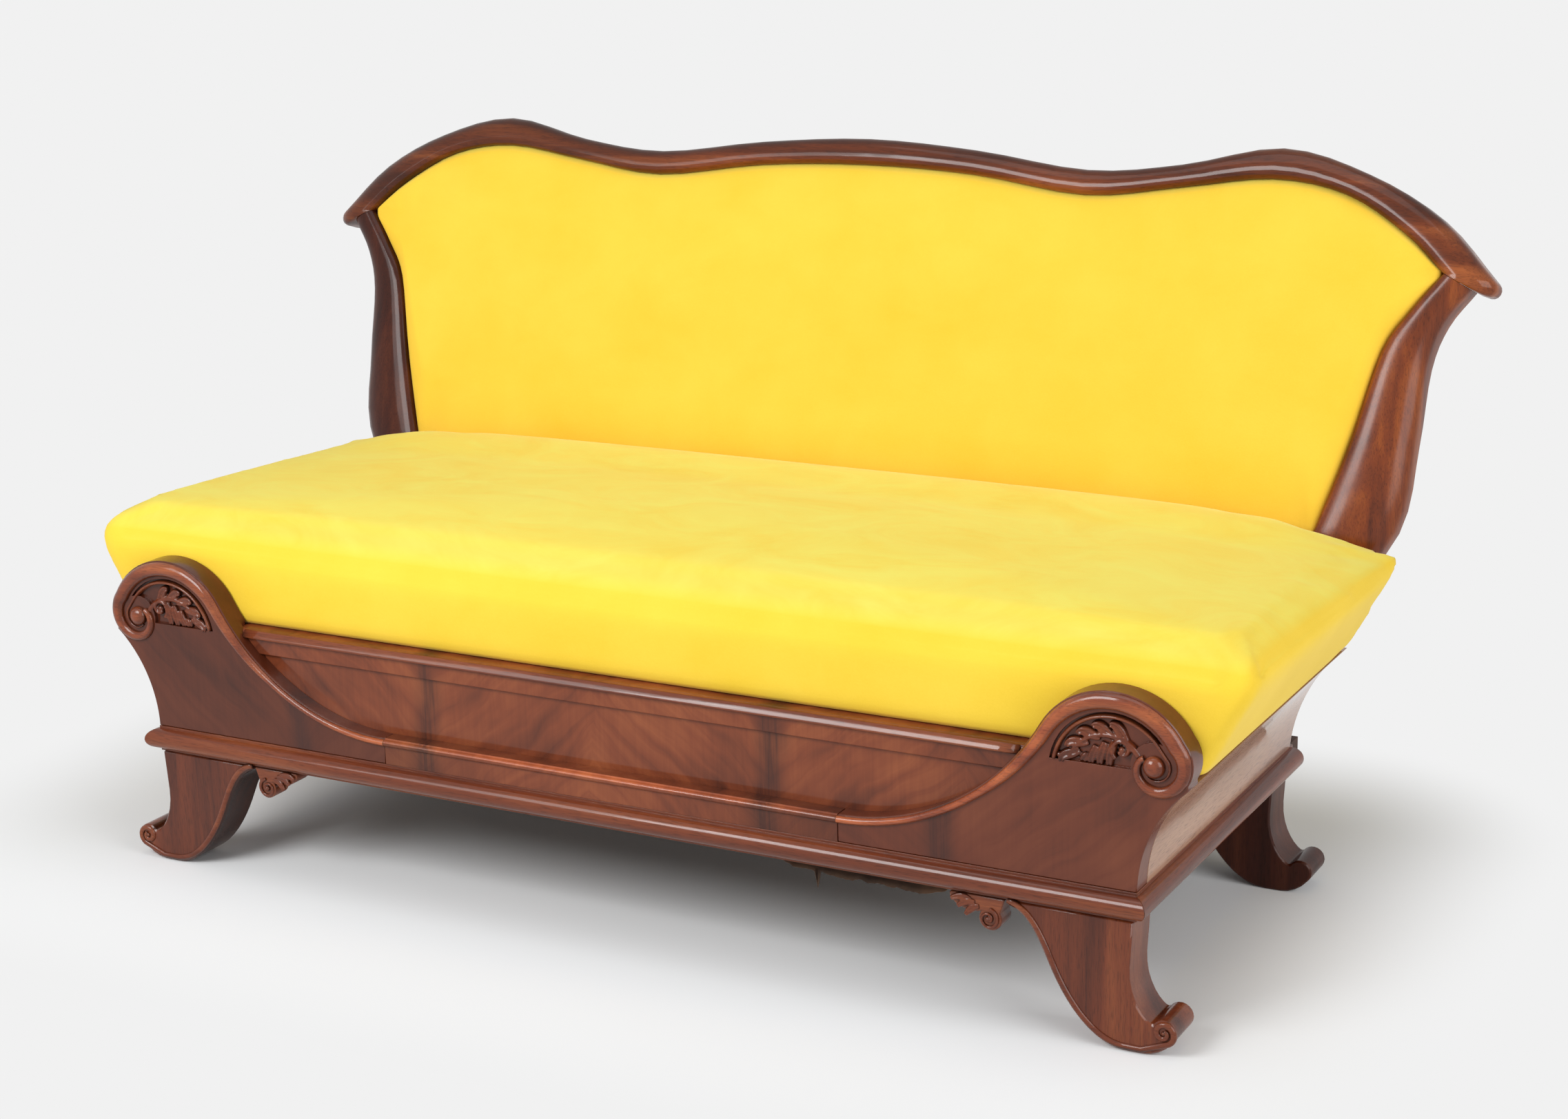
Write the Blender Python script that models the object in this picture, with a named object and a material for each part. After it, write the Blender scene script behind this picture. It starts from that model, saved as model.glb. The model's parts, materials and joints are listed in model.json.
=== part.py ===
"""Scroll-fronted mahogany settee with a sprung seat and a serpentine, raked back.

Metres, +Z up, X along the length, the front towards -Y.  The pieces are laid out with y = 0 at
the nose of the front base moulding; a root empty then brings the origin to the middle of the
footprint, on the floor.
"""
import math

import bmesh
import bpy
from mathutils import Vector

GAP = 0.0003                 # clearance between pieces that touch
OVERRUN = 0.010              # a cutter runs this far past the piece it cuts
STEP = 0.004                 # points nearer together than this are left out where outlines meet

# base: a moulded plank frame on four scroll feet
BASE_HALF_WIDTH = 0.666      # carcass side at the foot of its cove
MOULDING_END = 0.5351        # moulding nose to the rear end of the side mouldings
FOOT_HEIGHT = 0.150
FOOT_THICKNESS = 0.056
FOOT_TOP_LENGTH = 0.146      # length of the foot under the plank frame
FOOT_SETBACK = 0.0035        # foot's outer top edge, inside the carcass side
FOOT_FACE_SETBACK = 0.0125   # foot's front face behind the moulding nose
REAR_FOOT_INSET = 0.012      # rear feet inside the line of the front ones
FOOT_BROW = 0.0045           # upright edge at the foot's inner top corner
FOOT_EDGE = 0.002            # softened edges of the feet
KNEE_HEIGHT = 0.080          # where the inner S of the foot turns
KNEE_INSET = 0.0985          # the same point, inside the carcass side
KNEE_HEADING = math.radians(-65)
BROW_HEADING = math.radians(-11)
TOE_REACH = 0.033            # centre of the toe roll, outside the carcass side
TOE_HEIGHT = 0.029
TOE_RADIUS = 0.0145
TOE_FROM = math.radians(-50)
TOE_TO = math.radians(150)
TOE_UNDER_HEADING = math.radians(53)
INSTEP_RISE = 0.068          # the instep ends this far above the toe roll
INSTEP_HEADING = math.radians(87)
SOLE_FROM = 0.011            # flat sole, from here inside the carcass side
SOLE_TO = 0.008              # to here outside it
PLANK_THICKNESS = 0.033
PLANK_WIDTH = 0.075
MOULDING_REACH = 0.0145      # nose of the moulding in front of the carcass
MOULDING_FILLET = 0.0035     # flat edge above and below the half-round nose
BRACKET_THICKNESS = 0.0275
BRACKET_LENGTH = 0.066
BRACKET_CLEAR = 0.002        # between the bracket and its foot
BRACKET_SCROLL = 0.0135      # radius of the bracket's scroll
BRACKET_SCROLL_INSET = 0.004
BRACKET_SCROLL_DROP = 0.0255
BRACKET_TIP = 0.006          # thickness of the leaf at its tip
BRACKET_EDGE = 0.0018

# carcass
FRONT_RAIL_HEIGHT = 0.1415
FRONT_RAIL_THICKNESS = 0.025
FRONT_RECESS = 0.020         # recessed rail behind the scroll boards' face
BAND_HEIGHT = 0.030          # crossbanded strip along the rail's top
BAND_PROUD = 0.0056
BAND_EDGE = 0.001
SIDE_RAIL_HEIGHT = 0.1225
SIDE_RAIL_INNER = 0.026      # inner face of the side rail, inside the carcass side
COVE_RADIUS = 0.162
REAR_RAIL_HEIGHT = 0.1415
REAR_RAIL_THICKNESS = 0.025
POST_DEPTH = 0.060
BLOCK_LEG = 0.060
BLOCK_HEIGHT = 0.105
BEARER_WIDTH = 0.030
BEARER_HEIGHT = 0.040
BEARER_RISE = 0.020          # bearers above the plank frame

# scroll boards and the bead that runs along them
SCROLL_THICKNESS = 0.0306
SCROLL_EDGE = 0.0012         # softened edges of the boards
APRON_HEIGHT = 0.033         # low strip between the two S-curves
APRON_INSET = 0.356          # end of that strip, inside the carcass side
DOME_INSET = 0.030           # centre of the dome, inside the carcass side
DOME_RISE = 0.1265           # the same centre above the plank frame
DOME_RADIUS = 0.0945
DOME_END = math.radians(30)  # the dome runs down to here, then winds into the volute
EYE_ACROSS = 0.508           # volute eye from the dome's centre, in shares of the dome's radius
EYE_ABOVE = 0.1894
EYE_SHARE = 0.1323           # radius of the eye, in the same shares
EYE_PROUD = 0.0095
VOLUTE_TURN = math.radians(265)
VOLUTE_CLOSE = 0.1958        # outer radius of the winding where it meets the eye, in the same shares
VOLUTE_EASE = 1.35           # how late the winding closes in
VOLUTE_OUTSIDE = 0.5         # share of the winding that forms the board's own edge
BEAD_INSET = 0.0015          # bead's outer edge inside the board's edge
BEAD_NARROW = 0.0085         # bead width along the apron
BEAD_FULL = 0.1958           # bead width over the dome, in shares of the dome's radius
BEAD_TAIL = 0.0075           # bead width at the end of the winding
BEAD_RISE = 0.0025           # height of the bead, with a share of its width on top
BEAD_ARCH = 0.25
BEAD_SWELL_FROM = 0.6        # share of the S-curve after which the bead widens
BEAD_SWELL_RATE = 1.6
BEAD_TAPER = 0.8
LUNETTE_ABOVE = 0.1164       # lower edge of the carved hollow above the dome's centre, in the same shares
LUNETTE_DEPTH = 0.005
LUNETTE_MARGIN = 0.003       # between the hollow and the bead round it
WINDING_INSIDE = 0.86        # share of the winding where it passes nearest to the hollow
RAIL_LAP = 0.006             # the recessed rail runs on behind the scroll board

# sprung seat
WEB_WIDTH = 0.050
WEB_THICKNESS = 0.0016
WEB_CLEAR = 0.005            # between the foot brackets and the cloth behind them
SPRING_COLUMNS = 5
SPRING_ROW_SHARES = (0.357, 0.695)     # place of the two rows in the depth of the base
SPRING_END_RADIUS = 0.043
SPRING_WAIST_RADIUS = 0.028
SPRING_WIRE = 0.0042
SPRING_TURNS = 5
CURL_POINTS = 8
CLOTH = 0.0012               # thickness of hessian, lining and dust cover
SEAT_RISE = 0.0352           # underside of the seat pad above the front rail
SEAT_SIDE_HEIGHT = 0.0607    # from there to the shoulder, where the pad starts to turn over
SEAT_FRONT_CLEAR = 0.0015    # front face of the seat behind the scroll boards
SEAT_OVERHANG = 0.111        # the seat's shoulder outside the carcass side
SEAT_SIDE_BULGE = 0.003
SEAT_CORNER = 0.024          # rounded upright corners
SEAT_ROLL = 0.034            # radius of the rolled edge at the sides
SEAT_FRONT_ROLL = 0.056      # how far the front edge rolls back
SEAT_CROWN = 0.013           # crown of the pad above its rolled edge
SEAT_REAR_FALL = 0.024       # the pad's rear corners below its rear middle
SEAT_BACK_CLEAR = 0.001      # between the pad and the crown of the stiles
BORDER_WIDTH = 0.0430        # front and rear borders, front to back
BORDER_INNER = 0.011         # inner face of the side borders, inside the carcass side

# raked back: outlines are given as (x, height), seen square to the back's length
BACK_LEAN = math.radians(17.07)
BACK_SETBACK = 0.069         # front plane of the back behind the side mouldings, at the height below
BACK_RISE = 0.023            # that height above the seat's shoulder
BACK_HEIGHT = 0.300          # from there to the inner corner of crest and stile
BACK_DEPTH = 0.040           # front plane to the rear face
BACK_PROUD = 0.009           # crown of the rails in front of that plane
BACK_INNER_EDGE = 0.001      # inner edge of the rails in front of it
BACK_OUTER_FALL = 0.008      # outer edge of the rails behind it, where they are as wide as the crest
BACK_MOST_FALL = 0.019
BACK_APEX = 0.30             # place of the crown across the rail, from its inner edge
BACK_CHAMFER = 0.003
CREST_MID_RISE = 0.128       # outer edge of the crest above that corner: at the middle
CREST_DIP_RISE = 0.101       # in the dips
CREST_PEAK_RISE = 0.137      # on the shoulders
CREST_DIP_SHARE = 0.4005     # place of dip and shoulder, from the middle to the corner
CREST_PEAK_SHARE = 0.7245
CREST_EASE = 0.009           # fall of the outer edge half-way to the dip
CREST_INNER_EASE = 0.006
CREST_RISE = 0.0115          # rise of the outer edge half-way from dip to peak
CREST_INNER_RISE = 0.0145
CREST_WIDTH = 0.034          # at the middle
CREST_DIP_WIDTH = 0.0315
CREST_PEAK_WIDTH = 0.038
CREST_PEAK_SHIFT = 0.008     # the inner edge peaks this far nearer the middle
CREST_SHOULDER = (0.112, 0.027)        # outer edge past the peak: run and fall
CREST_INNER_SHOULDER = (0.087, 0.0145)
HORN_REACH = 0.182           # horn tip outside the carcass side
HORN_RADIUS = 0.010          # the tip is rounded
HORN_DROP = 0.0125           # centre of that round below the inner corner
HORN_FROM = math.radians(45)
HORN_TO = math.radians(-100)
HORN_NECK = (0.0725, 0.0685)           # outer edge before the round: inside it and above it
HORN_UNDER = 0.046           # underside of the horn, measured along the joint
CORNER_REACH = 0.118         # inner corner of crest and stile, outside the carcass side
CORNER_NECK = (0.050, 0.042)
JOINT_ANGLE = math.radians(-25)
JOINT_EASE = 0.0015
STILE_TOP_WIDTH = 0.0385
STILE_INNER = ((0.086, 0.853), (0.056, 0.687), (0.031, 0.337), (0.001, 0.0), (-0.036, -0.38))
STILE_OUTER = ((0.124, 0.807), (0.109, 0.637), (0.105, 0.337), (0.093, 0.0), (0.022, -0.38))
STILE_FOOT_INNER = -0.051
STILE_FOOT_OUTER = -0.020
STILE_FLAT_DROP = 0.079      # the stiles are flat below the seat
STILE_ROUND_DROP = 0.024
BACK_RAIL_DROP = 0.0193      # top of the bottom rail below the back's reference height
BACK_RAIL_HEIGHT = 0.050
BACK_PAD_EDGE = 0.004        # edge of the back pad behind the front plane
BACK_PAD_THICKNESS = 0.026
BACK_PAD_CROWN = 0.014
LINING_LAP = 0.012

# levels and faces that follow from the sizes above
PLANK_BOTTOM = FOOT_HEIGHT + GAP
PLANK_TOP = PLANK_BOTTOM + PLANK_THICKNESS
CARCASS_BOTTOM = PLANK_TOP + GAP
FRONT_RAIL_TOP = CARCASS_BOTTOM + FRONT_RAIL_HEIGHT
SIDE_RAIL_TOP = CARCASS_BOTTOM + SIDE_RAIL_HEIGHT
REAR_RAIL_TOP = CARCASS_BOTTOM + REAR_RAIL_HEIGHT
FACE_Y = MOULDING_REACH
RAIL_FRONT_Y = FACE_Y + FRONT_RECESS
RAIL_BACK_Y = RAIL_FRONT_Y + FRONT_RAIL_THICKNESS
SCROLL_BACK_Y = FACE_Y + SCROLL_THICKNESS
SIDE_INNER_X = BASE_HALF_WIDTH - SIDE_RAIL_INNER
APRON_HALF_LENGTH = BASE_HALF_WIDTH - APRON_INSET
APRON_TOP = CARCASS_BOTTOM + APRON_HEIGHT
DOME_X = BASE_HALF_WIDTH - DOME_INSET
DOME_Z = CARCASS_BOTTOM + DOME_RISE
EYE_X = DOME_X + DOME_RADIUS * EYE_ACROSS
EYE_Z = DOME_Z + DOME_RADIUS * EYE_ABOVE
EYE_RADIUS = DOME_RADIUS * EYE_SHARE
VOLUTE_END = DOME_RADIUS * VOLUTE_CLOSE
BEAD_WIDE = DOME_RADIUS * BEAD_FULL
FOOT_INNER_X = BASE_HALF_WIDTH - FOOT_SETBACK - FOOT_TOP_LENGTH
SPRING_PITCH_X = 2 * (FOOT_INNER_X - WEB_CLEAR - WEB_WIDTH / 2) / (SPRING_COLUMNS - 1)
BEARER_X = SPRING_PITCH_X * (SPRING_COLUMNS - 2) / 2
SEAT_BOTTOM = FRONT_RAIL_TOP + SEAT_RISE
SEAT_SHOULDER = SEAT_BOTTOM + SEAT_SIDE_HEIGHT
SEAT_FRONT = SCROLL_BACK_Y + SEAT_FRONT_CLEAR
SEAT_HALF_WIDTH = BASE_HALF_WIDTH + SEAT_OVERHANG
BORDER_INNER_X = BASE_HALF_WIDTH - BORDER_INNER
BORDER_TOP = SEAT_BOTTOM - GAP
BACK_REF_Y = MOULDING_END + BACK_SETBACK
BACK_REF_Z = SEAT_SHOULDER + BACK_RISE
BACK_RAIL_TOP = BACK_REF_Z - BACK_RAIL_DROP
CORNER_X = BASE_HALF_WIDTH + CORNER_REACH
CORNER_Z = BACK_REF_Z + BACK_HEIGHT
CREST_MID = CORNER_Z + CREST_MID_RISE
CREST_DIP = CORNER_Z + CREST_DIP_RISE
CREST_PEAK = CORNER_Z + CREST_PEAK_RISE
CREST_DIP_X = CORNER_X * CREST_DIP_SHARE
CREST_PEAK_X = CORNER_X * CREST_PEAK_SHARE
STILE_FOOT = CARCASS_BOTTOM + BACK_DEPTH * math.sin(BACK_LEAN)
STILE_FLAT_BELOW = BACK_REF_Z - STILE_FLAT_DROP
STILE_ROUND_ABOVE = BACK_REF_Z - STILE_ROUND_DROP

# the S-curve is one arc that leaves the apron level and meets the dome without a kink
S_RUN = DOME_X - APRON_HALF_LENGTH
S_CLIMB = DOME_Z - APRON_TOP
S_RADIUS = (S_RUN ** 2 + S_CLIMB ** 2 - DOME_RADIUS ** 2) / (2 * (DOME_RADIUS + S_CLIMB))
S_CENTRE_Z = APRON_TOP + S_RADIUS
S_END = math.atan2(DOME_Z - S_CENTRE_Z, S_RUN)

FINISHES = {
    "mahogany": ((0.118, 0.032, 0.016, 1.0), 0.22, 0.0),
    "veneer": ((0.150, 0.046, 0.022, 1.0), 0.20, 0.0),
    "pine": ((0.420, 0.270, 0.140, 1.0), 0.65, 0.0),
    "velvet": ((0.905, 0.640, 0.030, 1.0), 0.85, 0.0),
    "jute": ((0.330, 0.230, 0.120, 1.0), 0.90, 0.0),
    "spring_steel": ((0.300, 0.300, 0.310, 1.0), 0.35, 1.0),
    "dark_cotton": ((0.020, 0.018, 0.017, 1.0), 0.95, 0.0),
}


def clear_scene():
    for old in list(bpy.data.objects):
        bpy.data.objects.remove(old, do_unlink=True)


def make_finish(name):
    colour, roughness, metallic = FINISHES[name]
    finish = bpy.data.materials.new(name)
    finish.use_nodes = True
    shader = finish.node_tree.nodes["Principled BSDF"]
    shader.inputs["Base Color"].default_value = colour
    shader.inputs["Roughness"].default_value = roughness
    shader.inputs["Metallic"].default_value = metallic
    return finish


def add_empty(name, parent=None):
    empty = bpy.data.objects.new(name, None)
    bpy.context.scene.collection.objects.link(empty)
    empty.parent = parent
    return empty


def add_object(name, bm, finish, parent):
    bmesh.ops.recalc_face_normals(bm, faces=bm.faces)
    mesh = bpy.data.meshes.new(name)
    bm.to_mesh(mesh)
    bm.free()
    mesh.shade_smooth()
    mesh.set_sharp_from_angle(angle=math.radians(35))
    piece = bpy.data.objects.new(name, mesh)
    bpy.context.scene.collection.objects.link(piece)
    piece.parent = parent
    piece.data.materials.append(finish)
    return piece


def loft(name, rings, finish, parent):
    """Closed solid through rings of equally many points, capped at both ends."""
    bm = bmesh.new()
    loops = [[bm.verts.new(point) for point in ring] for ring in rings]
    for lower, upper in zip(loops, loops[1:]):
        for i in range(len(lower)):
            j = (i + 1) % len(lower)
            bm.faces.new((lower[i], lower[j], upper[j], upper[i]))
    bm.faces.new(loops[0])
    bm.faces.new(loops[-1])
    return add_object(name, bm, finish, parent)


def block(name, low, high, finish, parent):
    corners = ((0, 0), (1, 0), (1, 1), (0, 1))
    rings = []
    for z in (low[2], high[2]):
        rings.append([((low[0], high[0])[i], (low[1], high[1])[j], z) for i, j in corners])
    return loft(name, rings, finish, parent)


def slab(name, outline, front, back, finish, parent):
    """Outline of (x, z) points carried from one y to another."""
    rings = [[(x, y, z) for x, z in outline] for y in (front, back)]
    return loft(name, rings, finish, parent)


def soften(piece, width, segments=1):
    bevel = piece.modifiers.new("softened edges", "BEVEL")
    bevel.width = width
    bevel.segments = segments
    bevel.limit_method = "ANGLE"
    bevel.angle_limit = math.radians(40)


def carve(piece, tool, operation):
    tool.hide_render = True
    tool.display_type = "WIRE"
    cut = piece.modifiers.new(tool.name, "BOOLEAN")
    cut.operation = operation
    cut.object = tool


def arc(centre, radius, start, end, steps):
    angles = [start + (end - start) * i / steps for i in range(steps + 1)]
    return [(centre[0] + radius * math.cos(a), centre[1] + radius * math.sin(a)) for a in angles]


def bezier(p0, p1, p2, p3, steps):
    points = []
    for i in range(steps + 1):
        t = i / steps
        weights = ((1 - t) ** 3, 3 * t * (1 - t) ** 2, 3 * t * t * (1 - t), t ** 3)
        points.append(tuple(sum(w * p[k] for w, p in zip(weights, (p0, p1, p2, p3))) for k in (0, 1)))
    return points


def swoop(start, leaving, end, arriving, steps, pulls=(0.34, 0.34)):
    """Curve between two points with given headings; pulls are shares of the chord."""
    chord = math.dist(start, end)
    ahead, behind = pulls[0] * chord, pulls[1] * chord
    first = (start[0] + ahead * math.cos(leaving), start[1] + ahead * math.sin(leaving))
    last = (end[0] - behind * math.cos(arriving), end[1] - behind * math.sin(arriving))
    return bezier(start, first, last, end, steps)


def spline(keys, steps):
    """Smooth curve through the key points, with the given steps in each span."""
    first = tuple(2 * a - b for a, b in zip(keys[0], keys[1]))
    last = tuple(2 * a - b for a, b in zip(keys[-1], keys[-2]))
    padded = [first, *keys, last]
    points = []
    for a, b, c, d in zip(padded, padded[1:], padded[2:], padded[3:]):
        handle_b = tuple(q + (r - p) / 6 for p, q, r in zip(a, b, c))
        handle_c = tuple(r - (s - q) / 6 for q, r, s in zip(b, c, d))
        points.extend(bezier(b, handle_b, handle_c, c, steps)[:-1])
    points.append(tuple(keys[-1]))
    return points


def crossing(centre, radius, other, other_radius):
    """Upper point where two circles cross."""
    apart = math.dist(centre, other)
    along = (radius ** 2 - other_radius ** 2 + apart ** 2) / (2 * apart)
    across = math.sqrt(radius ** 2 - along ** 2)
    unit = ((other[0] - centre[0]) / apart, (other[1] - centre[1]) / apart)
    return (centre[0] + along * unit[0] - across * unit[1], centre[1] + along * unit[1] + across * unit[0])


def inset(outline, distance):
    """Closed outline moved inwards, for an outline that runs anticlockwise."""
    moved = []
    ahead = [*outline[1:], outline[0]]
    behind = [outline[-1], *outline[:-1]]
    for before, here, after in zip(behind, outline, ahead):
        along_in = (Vector(here) - Vector(before)).normalized()
        along_out = (Vector(after) - Vector(here)).normalized()
        normal_in = Vector((-along_in.y, along_in.x))
        normal_out = Vector((-along_out.y, along_out.x))
        shift = (normal_in + normal_out) / (1 + normal_in.dot(normal_out))
        moved.append(tuple(Vector(here) + shift * distance))
    return moved


def mirrored(outline, side):
    return [(side * x, z) for x, z in outline]


def back_y(z, depth=0.0):
    """World y of the raked back's front plane, or of a plane behind it, at a height."""
    return BACK_REF_Y + (z - BACK_REF_Z) * math.tan(BACK_LEAN) + depth / math.cos(BACK_LEAN)


def back_point(x, z, depth):
    """Point in the raked back's own frame, for an outline point at a height on its front plane."""
    return (x, depth, (z - BACK_REF_Z) / math.cos(BACK_LEAN))


def cove_x(z):
    rise = z - CARCASS_BOTTOM
    return BASE_HALF_WIDTH + COVE_RADIUS - math.sqrt(COVE_RADIUS ** 2 - rise ** 2)


def cove(top, steps):
    """Coved side of the carcass, from the plank frame up."""
    levels = [CARCASS_BOTTOM + (top - CARCASS_BOTTOM) * i / steps for i in range(steps + 1)]
    return [(cove_x(z), z) for z in levels]


def s_curve_x(z):
    return APRON_HALF_LENGTH + math.sqrt(S_RADIUS ** 2 - (S_CENTRE_Z - z) ** 2)


def volute_radius(share):
    """Outer radius of the winding, from the end of the dome to the eye."""
    start = math.hypot(*volute_start())
    return start + (VOLUTE_END - start) * share ** VOLUTE_EASE


def volute_start():
    """End of the dome, seen from the eye."""
    x = DOME_X + DOME_RADIUS * math.cos(DOME_END) - EYE_X
    z = DOME_Z + DOME_RADIUS * math.sin(DOME_END) - EYE_Z
    return x, z


def volute(turn_share, steps):
    x, z = volute_start()
    start = math.atan2(z, x)
    points = []
    for i in range(1, steps + 1):
        share = turn_share * i / steps
        angle = start - VOLUTE_TURN * share
        radius = volute_radius(share)
        points.append((EYE_X + radius * math.cos(angle), EYE_Z + radius * math.sin(angle)))
    return points


def scroll_edge():
    """Top edge of a scroll board, from the apron up the S and over the dome."""
    s_arc = arc((APRON_HALF_LENGTH, S_CENTRE_Z), S_RADIUS, -math.pi / 2, S_END, 24)
    dome = arc((DOME_X, DOME_Z), DOME_RADIUS, S_END + math.pi, DOME_END, 22)
    return s_arc + dome[1:]


def scroll_outline():
    winding = volute(VOLUTE_OUTSIDE, 16)
    cove_line = cove(SIDE_RAIL_TOP, 14)
    outside = [p for p in winding if p[1] > SIDE_RAIL_TOP or p[0] > cove_x(p[1])]
    junction = outside[-1][1]
    side = [p for p in cove_line if p[1] < junction - STEP]
    start = APRON_HALF_LENGTH + GAP / 2
    edge = scroll_edge()
    edge[0] = (start, edge[0][1])
    return edge + outside + side[::-1] + [(start, CARCASS_BOTTOM)]


def bead_height(width):
    return BEAD_RISE + BEAD_ARCH * width


def bead_path():
    """Outer edge of the bead, with its width at each point."""
    edge = scroll_edge()
    winding = volute(1.0, 34)
    outer = edge + winding
    widths = []
    narrow = BEAD_SWELL_FROM * len(edge) / 2
    for i in range(len(edge)):
        climb = max(0.0, (i - narrow) / (len(edge) - narrow))
        swell = math.sin(min(1.0, BEAD_SWELL_RATE * climb) * math.pi / 2)
        widths.append(BEAD_NARROW + (BEAD_WIDE - BEAD_NARROW) * swell)
    for i in range(1, len(winding) + 1):
        widths.append(BEAD_WIDE + (BEAD_TAIL - BEAD_WIDE) * (i / len(winding)) ** BEAD_TAPER)
    return outer, widths


def scroll_bead(name, side, finish, parent):
    outer, widths = bead_path()
    outer[0] = (APRON_HALF_LENGTH + GAP / 2, outer[0][1])
    base = FACE_Y - GAP
    arch = 8
    rings = []
    for i, (here, width) in enumerate(zip(outer, widths)):
        before = outer[max(i - 1, 0)]
        after = outer[min(i + 1, len(outer) - 1)]
        along = Vector((after[0] - before[0], after[1] - before[1])).normalized()
        inward = Vector((along.y, -along.x))
        if i == 0:
            inward = Vector((0.0, -1.0))
        start = Vector(here) + inward * BEAD_INSET
        height = bead_height(width)
        ring = []
        for k in range(arch + 1):
            turn = math.pi * k / arch
            across = start + inward * width * (1 - math.cos(turn)) / 2
            ring.append((side * across.x, base - height * math.sin(turn), across.y))
        rings.append(ring)
    bead = loft(name, rings, finish, parent)
    carve(bead, eye_button(name + "_eye", side, finish, parent), "UNION")
    return bead


def eye_button(name, side, finish, parent):
    """Domed button in the middle of the volute, flat on the board."""
    rings = []
    steps = 5
    base = FACE_Y - GAP
    for i in range(steps + 1):
        turn = math.pi / 2 * i / (steps + 0.5)
        radius = EYE_RADIUS * math.cos(turn)
        y = base - EYE_PROUD * math.sin(turn)
        circle = arc((EYE_X, EYE_Z), radius, 0, 2 * math.pi, 20)[:-1]
        rings.append([(side * x, y, z) for x, z in circle])
    return loft(name, rings, finish, parent)


def lunette(name, side, finish, parent):
    """Hollow for the carved leaves, between the dome's bead, the volute and a level line."""
    level = DOME_Z + DOME_RADIUS * LUNETTE_ABOVE
    dome, eye = (DOME_X, DOME_Z), (EYE_X, EYE_Z)
    radius = DOME_RADIUS - BEAD_INSET - BEAD_WIDE - LUNETTE_MARGIN
    clear = volute_radius(WINDING_INSIDE) + LUNETTE_MARGIN
    horn = crossing(dome, radius, eye, clear)
    left = math.pi - math.asin((level - DOME_Z) / radius)
    right = math.pi + math.asin((EYE_Z - level) / clear)
    hollow = arc(eye, clear, right, math.atan2(horn[1] - EYE_Z, horn[0] - EYE_X), 8)
    hollow += arc(dome, radius, math.atan2(horn[1] - DOME_Z, horn[0] - DOME_X), left, 16)[1:]
    return slab(name, mirrored(hollow, side), FACE_Y - OVERRUN, FACE_Y + LUNETTE_DEPTH, finish, parent)


def scroll_board(name, side, finish, parent):
    board = slab(name, mirrored(scroll_outline(), side), FACE_Y, SCROLL_BACK_Y, finish, parent)
    soften(board, SCROLL_EDGE)
    rail_end = s_curve_x(FRONT_RAIL_TOP) + RAIL_LAP
    ends = sorted((side * (APRON_HALF_LENGTH - OVERRUN), side * (rail_end + GAP)))
    rebate = block(name + "_rebate", (ends[0], RAIL_FRONT_Y - GAP, CARCASS_BOTTOM - OVERRUN),
                   (ends[1], SCROLL_BACK_Y + OVERRUN, DOME_Z + DOME_RADIUS + OVERRUN), finish, parent)
    carve(board, rebate, "DIFFERENCE")
    carve(board, lunette(name + "_hollow", side, finish, parent), "DIFFERENCE")
    return board


def front_apron(finish, parent):
    """Low strip between the S-curves, with the bead along its top."""
    back = RAIL_FRONT_Y - GAP
    bead_top = APRON_TOP - BEAD_INSET
    height = bead_height(BEAD_NARROW)
    profile = [(back, CARCASS_BOTTOM), (back, APRON_TOP), (FACE_Y + BEAD_INSET, APRON_TOP)]
    for k in range(7):
        turn = math.pi * k / 6
        drop = BEAD_NARROW * (1 - math.cos(turn)) / 2
        profile.append((FACE_Y - height * math.sin(turn), bead_top - drop))
    profile.append((FACE_Y, CARCASS_BOTTOM))
    end = APRON_HALF_LENGTH - GAP / 2
    rings = [[(x, y, z) for y, z in profile] for x in (-end, end)]
    return loft("front_apron", rings, finish, parent)


def front_rail_band(finish, parent):
    """Crossbanded strip along the recessed rail, rounded at the top, ending at the S-curves."""
    back = RAIL_FRONT_Y - GAP
    front = back - BAND_PROUD
    low = FRONT_RAIL_TOP - BAND_HEIGHT
    profile = [(back, low), (front + BAND_EDGE, low), (front, low + BAND_EDGE)]
    profile += arc((back, FRONT_RAIL_TOP - BAND_PROUD), BAND_PROUD, math.pi, math.pi / 2, 5)
    rings = []
    for side in (-1, 1):
        rings.append([(side * (s_curve_x(z) - GAP), y, z) for y, z in profile])
    return loft("front_rail_band", rings, finish, parent)


def side_rail(name, side, finish, parent):
    inner = [(SIDE_INNER_X, SIDE_RAIL_TOP), (SIDE_INNER_X, CARCASS_BOTTOM)]
    outline = cove(SIDE_RAIL_TOP, 12) + inner
    front = [(side * x, SCROLL_BACK_Y + GAP, z) for x, z in outline]
    rear = [(side * x, back_y(z, -GAP), z) for x, z in outline]
    return loft(name, [front, rear], finish, parent)


def moulding_profile():
    """(outward reach, height) round the plank: a half-round nose between two fillets."""
    middle = (PLANK_BOTTOM + PLANK_TOP) / 2
    half = PLANK_THICKNESS / 2 - MOULDING_FILLET
    rear = MOULDING_REACH - PLANK_WIDTH
    nose = [(MOULDING_REACH * x, middle + half * z) for x, z in arc((0, 0), 1, -math.pi / 2, math.pi / 2, 14)]
    return [(rear, PLANK_BOTTOM), (0.0, PLANK_BOTTOM), *nose, (0.0, PLANK_TOP), (rear, PLANK_TOP)]


def base_mouldings(finish, parent):
    """Front plank and two side planks, mitred at the front corners."""
    profile = moulding_profile()
    front = []
    for side in (-1, 1):
        front.append([(side * (BASE_HALF_WIDTH + reach), FACE_Y - reach, z) for reach, z in profile])
    loft("base_moulding_front", front, finish, parent)
    for name, side in (("base_moulding_left", -1), ("base_moulding_right", 1)):
        line = [(side * (BASE_HALF_WIDTH + reach), FACE_Y - reach + 2 * GAP, z) for reach, z in profile]
        mitre = line
        square = [(x, MOULDING_END, z) for x, _, z in line]
        loft(name, [mitre, square], finish, parent)


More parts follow.
